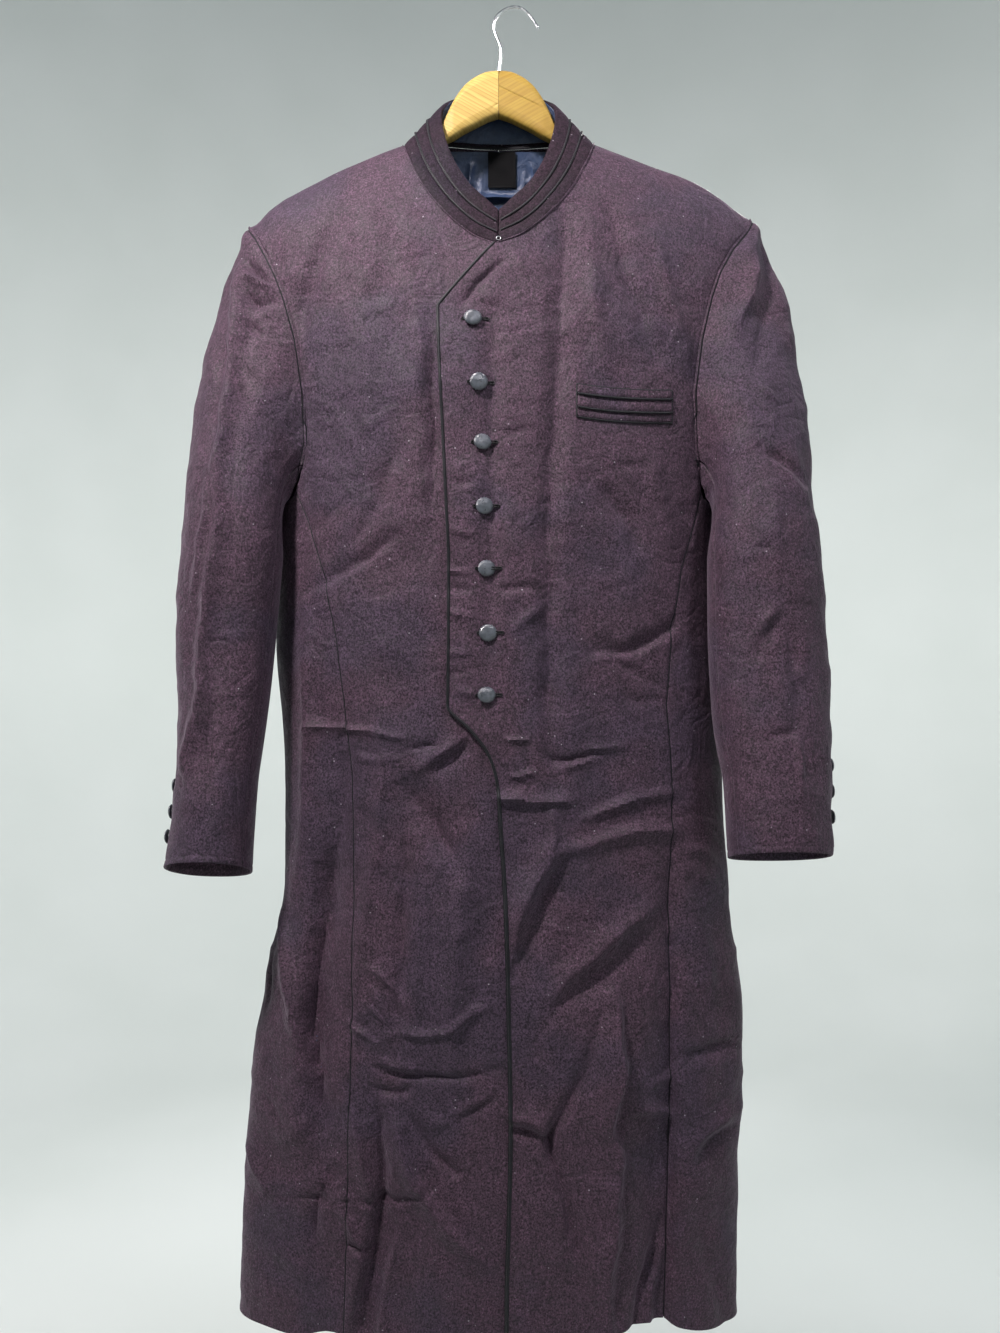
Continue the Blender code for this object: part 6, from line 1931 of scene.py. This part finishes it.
def hanger_arm(name, side, made):
    """Half of the hanger: a lofted bar with eased edges and its sawn grooves."""
    corners = np.array([(1, 0.6), (0.5, 1), (-0.5, 1), (-1, 0.6), (-1, -0.66), (-0.7, -1), (0.7, -1), (1, -0.66), (1, 0.6)], float)
    counts = [5, 6, 5, 44, 4, 5, 4, 16]
    outline = np.concatenate([a + (b - a) * np.linspace(0, 1, k, endpoint=False)[:, None] for (a, b), k in zip(zip(corners[:-1], corners[1:]), counts)])
    reach = 206 if side > 0 else 208
    xs = np.concatenate([[0.15], np.arange(0.9, 60, 1.1), np.arange(61, reach - 3, 4.0), reach - np.array([3, 1.6, 0.7, 0.2, 0])])
    rings = []
    for x in xs:
        upper, lower, thick = (float(ARM.at(k, x)) for k in ("top", "bottom", "thick"))
        tilt = 3.0 * x / 206 if side > 0 else -0.5 * x / 206
        mid, half = (upper + lower) / 2 + tilt, (upper - lower) / 2
        end = reach - x
        shrink = 1.0 if end > 3 else 0.8 + 0.2 * math.sqrt(max(0.0, 1 - (1 - end / 3) ** 2))
        y = RIDGE_Y - 3 + outline[:, 0] * thick / 2 * shrink
        z = mid + outline[:, 1] * half * shrink
        px = np.full(len(outline), CENTRE_X + side * x)
        face = (outline[:, 0] < -0.999) & (x > 0.5)
        for x0, z0, x1, z1 in GROOVES[side]:
            inside = (px >= min(x0, x1) - 0.5) & (px <= max(x0, x1) + 0.5)
            zl = z0 + (z1 - z0) * (px - x0) / (x1 - x0)
            y = y + face * inside * 0.75 * np.exp(-(((z - zl) / 0.7) ** 2))
        rings.append(np.stack([px, y, z], 1))
    rings = np.array(rings)
    # ease the long edges
    for _ in range(3):
        eased = 0.25 * np.roll(rings, 1, 1) + 0.5 * rings + 0.25 * np.roll(rings, -1, 1)
        turn = np.abs(np.roll(outline, 1, 0) + np.roll(outline, -1, 0) - 2 * outline).sum(1) > 0.02
        near = turn | np.roll(turn, 1) | np.roll(turn, -1)
        rings = np.where(near[None, :, None], eased, rings)
    n = len(outline)
    count = len(rings)
    points = rings.reshape(-1, 3)
    i, j = np.meshgrid(np.arange(count - 1), np.arange(n), indexing="ij")
    quads = np.stack([i * n + j, i * n + (j + 1) % n, (i + 1) * n + (j + 1) % n, (i + 1) * n + j], -1).reshape(-1, 4).tolist()
    faces = quads + [list(range(n))[::-1], [(count - 1) * n + k for k in range(n)]]
    if side < 0:
        faces = [f[::-1] for f in faces]
    return make_mesh(name, points, faces, [made], sharp=40)


keep(hanger_arm("hanger_bar_left", 1, WOOD_LEFT), "hanger_wood", "hanger_arm_left")
keep(hanger_arm("hanger_bar_right", -1, WOOD_RIGHT), "hanger_wood", "hanger_arm_right")
lo_, hi_ = np.array([CENTRE_X - 0.16, -6.4, -102.2]), np.array([CENTRE_X + 0.16, 6.4, -60.2])
joint = [[(lo_, hi_)[(k >> a) & 1][a] for a in range(3)] for k in range(8)]
joint_faces = [[0, 2, 3, 1], [4, 5, 7, 6], [0, 1, 5, 4], [2, 6, 7, 3], [0, 4, 6, 2], [1, 3, 7, 5]]
GLUE = wood("hanger_glue_line", (0.05, 0.028, 0.010), (0.04, 0.022, 0.008), (0.03, 0.015, 0.006), 0, 0.3)
keep(make_mesh("hanger_joint_line", joint, joint_faces, [GLUE]), "hanger_wood")

hook = [
    (-15.0, -59.0), (-13.2, -46.5), (-12.9, -39.0), (-14.8, -31.8), (-17.9, -24.6), (-19.6, -17.6), (-18.9, -11.6),
    (-15.8, -6.4), (-11.0, -2.4), (-5.6, 0.3), (0.0, 1.4), (5.6, 0.4), (10.8, -3.0), (15.4, -8.2), (19.0, -13.6), (22.6, -19.2),
]  # fmt: skip
path = smooth_path([(x, 0, z) for x, z in hook], 0.9)
path = soften(path, 6)
radius = np.full(len(path), WIRE_R)
radius[-1] = 0.9
keep(cord_mesh("hanger_wire_hook", path, radius, STEEL, sides=20), "hook_steel", "hanger_hook")

# ------------------------------------------------------------- stage and light
FLOOR_Z = -2.25
profile = [(0.0, FLOOR_Z), (1.5, FLOOR_Z), (3.2, FLOOR_Z)]
for a in np.linspace(0, 90, 19)[1:]:
    profile.append((3.2 + 1.6 * math.sin(math.radians(a)), FLOOR_Z + 1.6 - 1.6 * math.cos(math.radians(a))))
profile += [(4.8, 1.2), (4.8, 3.4)]
around = 96
points = [(r * math.cos(a) * 1000, r * math.sin(a) * 1000, z * 1000) for r, z in profile[1:] for a in np.linspace(0, 2 * math.pi, around, endpoint=False)]
points = [(0, 0, FLOOR_Z * 1000), *points]
faces = [[0, 1 + s, 1 + (s + 1) % around] for s in range(around)]
for k in range(len(profile) - 2):
    for s in range(around):
        e = (s + 1) % around
        a, b = 1 + k * around, 1 + (k + 1) * around
        faces.append([a + s, b + s, b + e, a + e])
m = Shade("stage_paint", Specular_IOR_Level=0.1, Roughness=0.95)
m.colour(m.blend(m.span(m.noise(1.2, 2, 0.5), 0.3, 0.7), (0.74, 0.765, 0.745), (0.78, 0.80, 0.785)))
stage = make_mesh("stage", points, faces, [m.made])


def area_light(name, place, aim, size, power, colour):
    light = bpy.data.lights.new(name, "AREA")
    light.shape = "ELLIPSE" if isinstance(size, tuple) else "DISK"
    light.size = size[0] if isinstance(size, tuple) else size
    if isinstance(size, tuple):
        light.size_y = size[1]
    light.energy = power
    light.color = colour
    obj = bpy.data.objects.new(name, light)
    obj.location = place
    obj.rotation_mode = "QUATERNION"
    obj.rotation_quaternion = (Vector(aim) - Vector(place)).to_track_quat("-Z", "Y")
    SCENE.collection.objects.link(obj)
    return obj


area_light("key", (-0.50, -0.68, 0.40), (-0.02, 0, -0.6), 0.13, 30.5, (1.0, 0.92, 0.92))
area_light("second", (0.60, -0.62, 0.50), (0, 0, -0.5), 0.13, 6.5, (0.97, 0.93, 1.0))
area_light("fill_right", (1.5, -1.4, -0.3), (0, 0, -0.6), 1.0, 2.5, (0.86, 0.92, 1.0))
area_light("back_key", (0.55, 1.05, 0.42), (0, 0, -0.6), 0.35, 24, (1.0, 0.94, 0.94))
# washes for the pale surroundings only, turned away from the coat
for k in range(8):
    turn = math.radians(45 * k)
    power = 35 * (0.62 + 0.38 * math.cos(turn))
    out = Vector((math.sin(turn), math.cos(turn), 0))
    wash = area_light(f"wash_{k}", tuple(out * 1.0 + Vector((0, 0, -0.35))), tuple(out * 4.8 + Vector((0, 0, -0.1))), 0.7, power, (0.97, 1.0, 0.985))
    wash.visible_camera = False
for obj in SCENE.objects:
    if obj.type == "LIGHT":
        obj.visible_camera = False

SCENE.view_settings.view_transform = "Standard"
world = bpy.data.worlds.new("studio")
SCENE.world = world
world.use_nodes = True
world.node_tree.nodes["Background"].inputs["Color"].default_value = (0.70, 0.83, 1.0, 1)
world.node_tree.nodes["Background"].inputs["Strength"].default_value = 0.16

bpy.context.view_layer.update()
for line in SHEETS:
    print("sheet", *line)
counts = {o.name: sum(len(f.vertices) - 2 for f in o.data.polygons) for o in SCENE.objects if o.type == "MESH"}
print("triangles", sum(counts.values()), sorted(((v, k) for k, v in counts.items()), reverse=True)[:16])
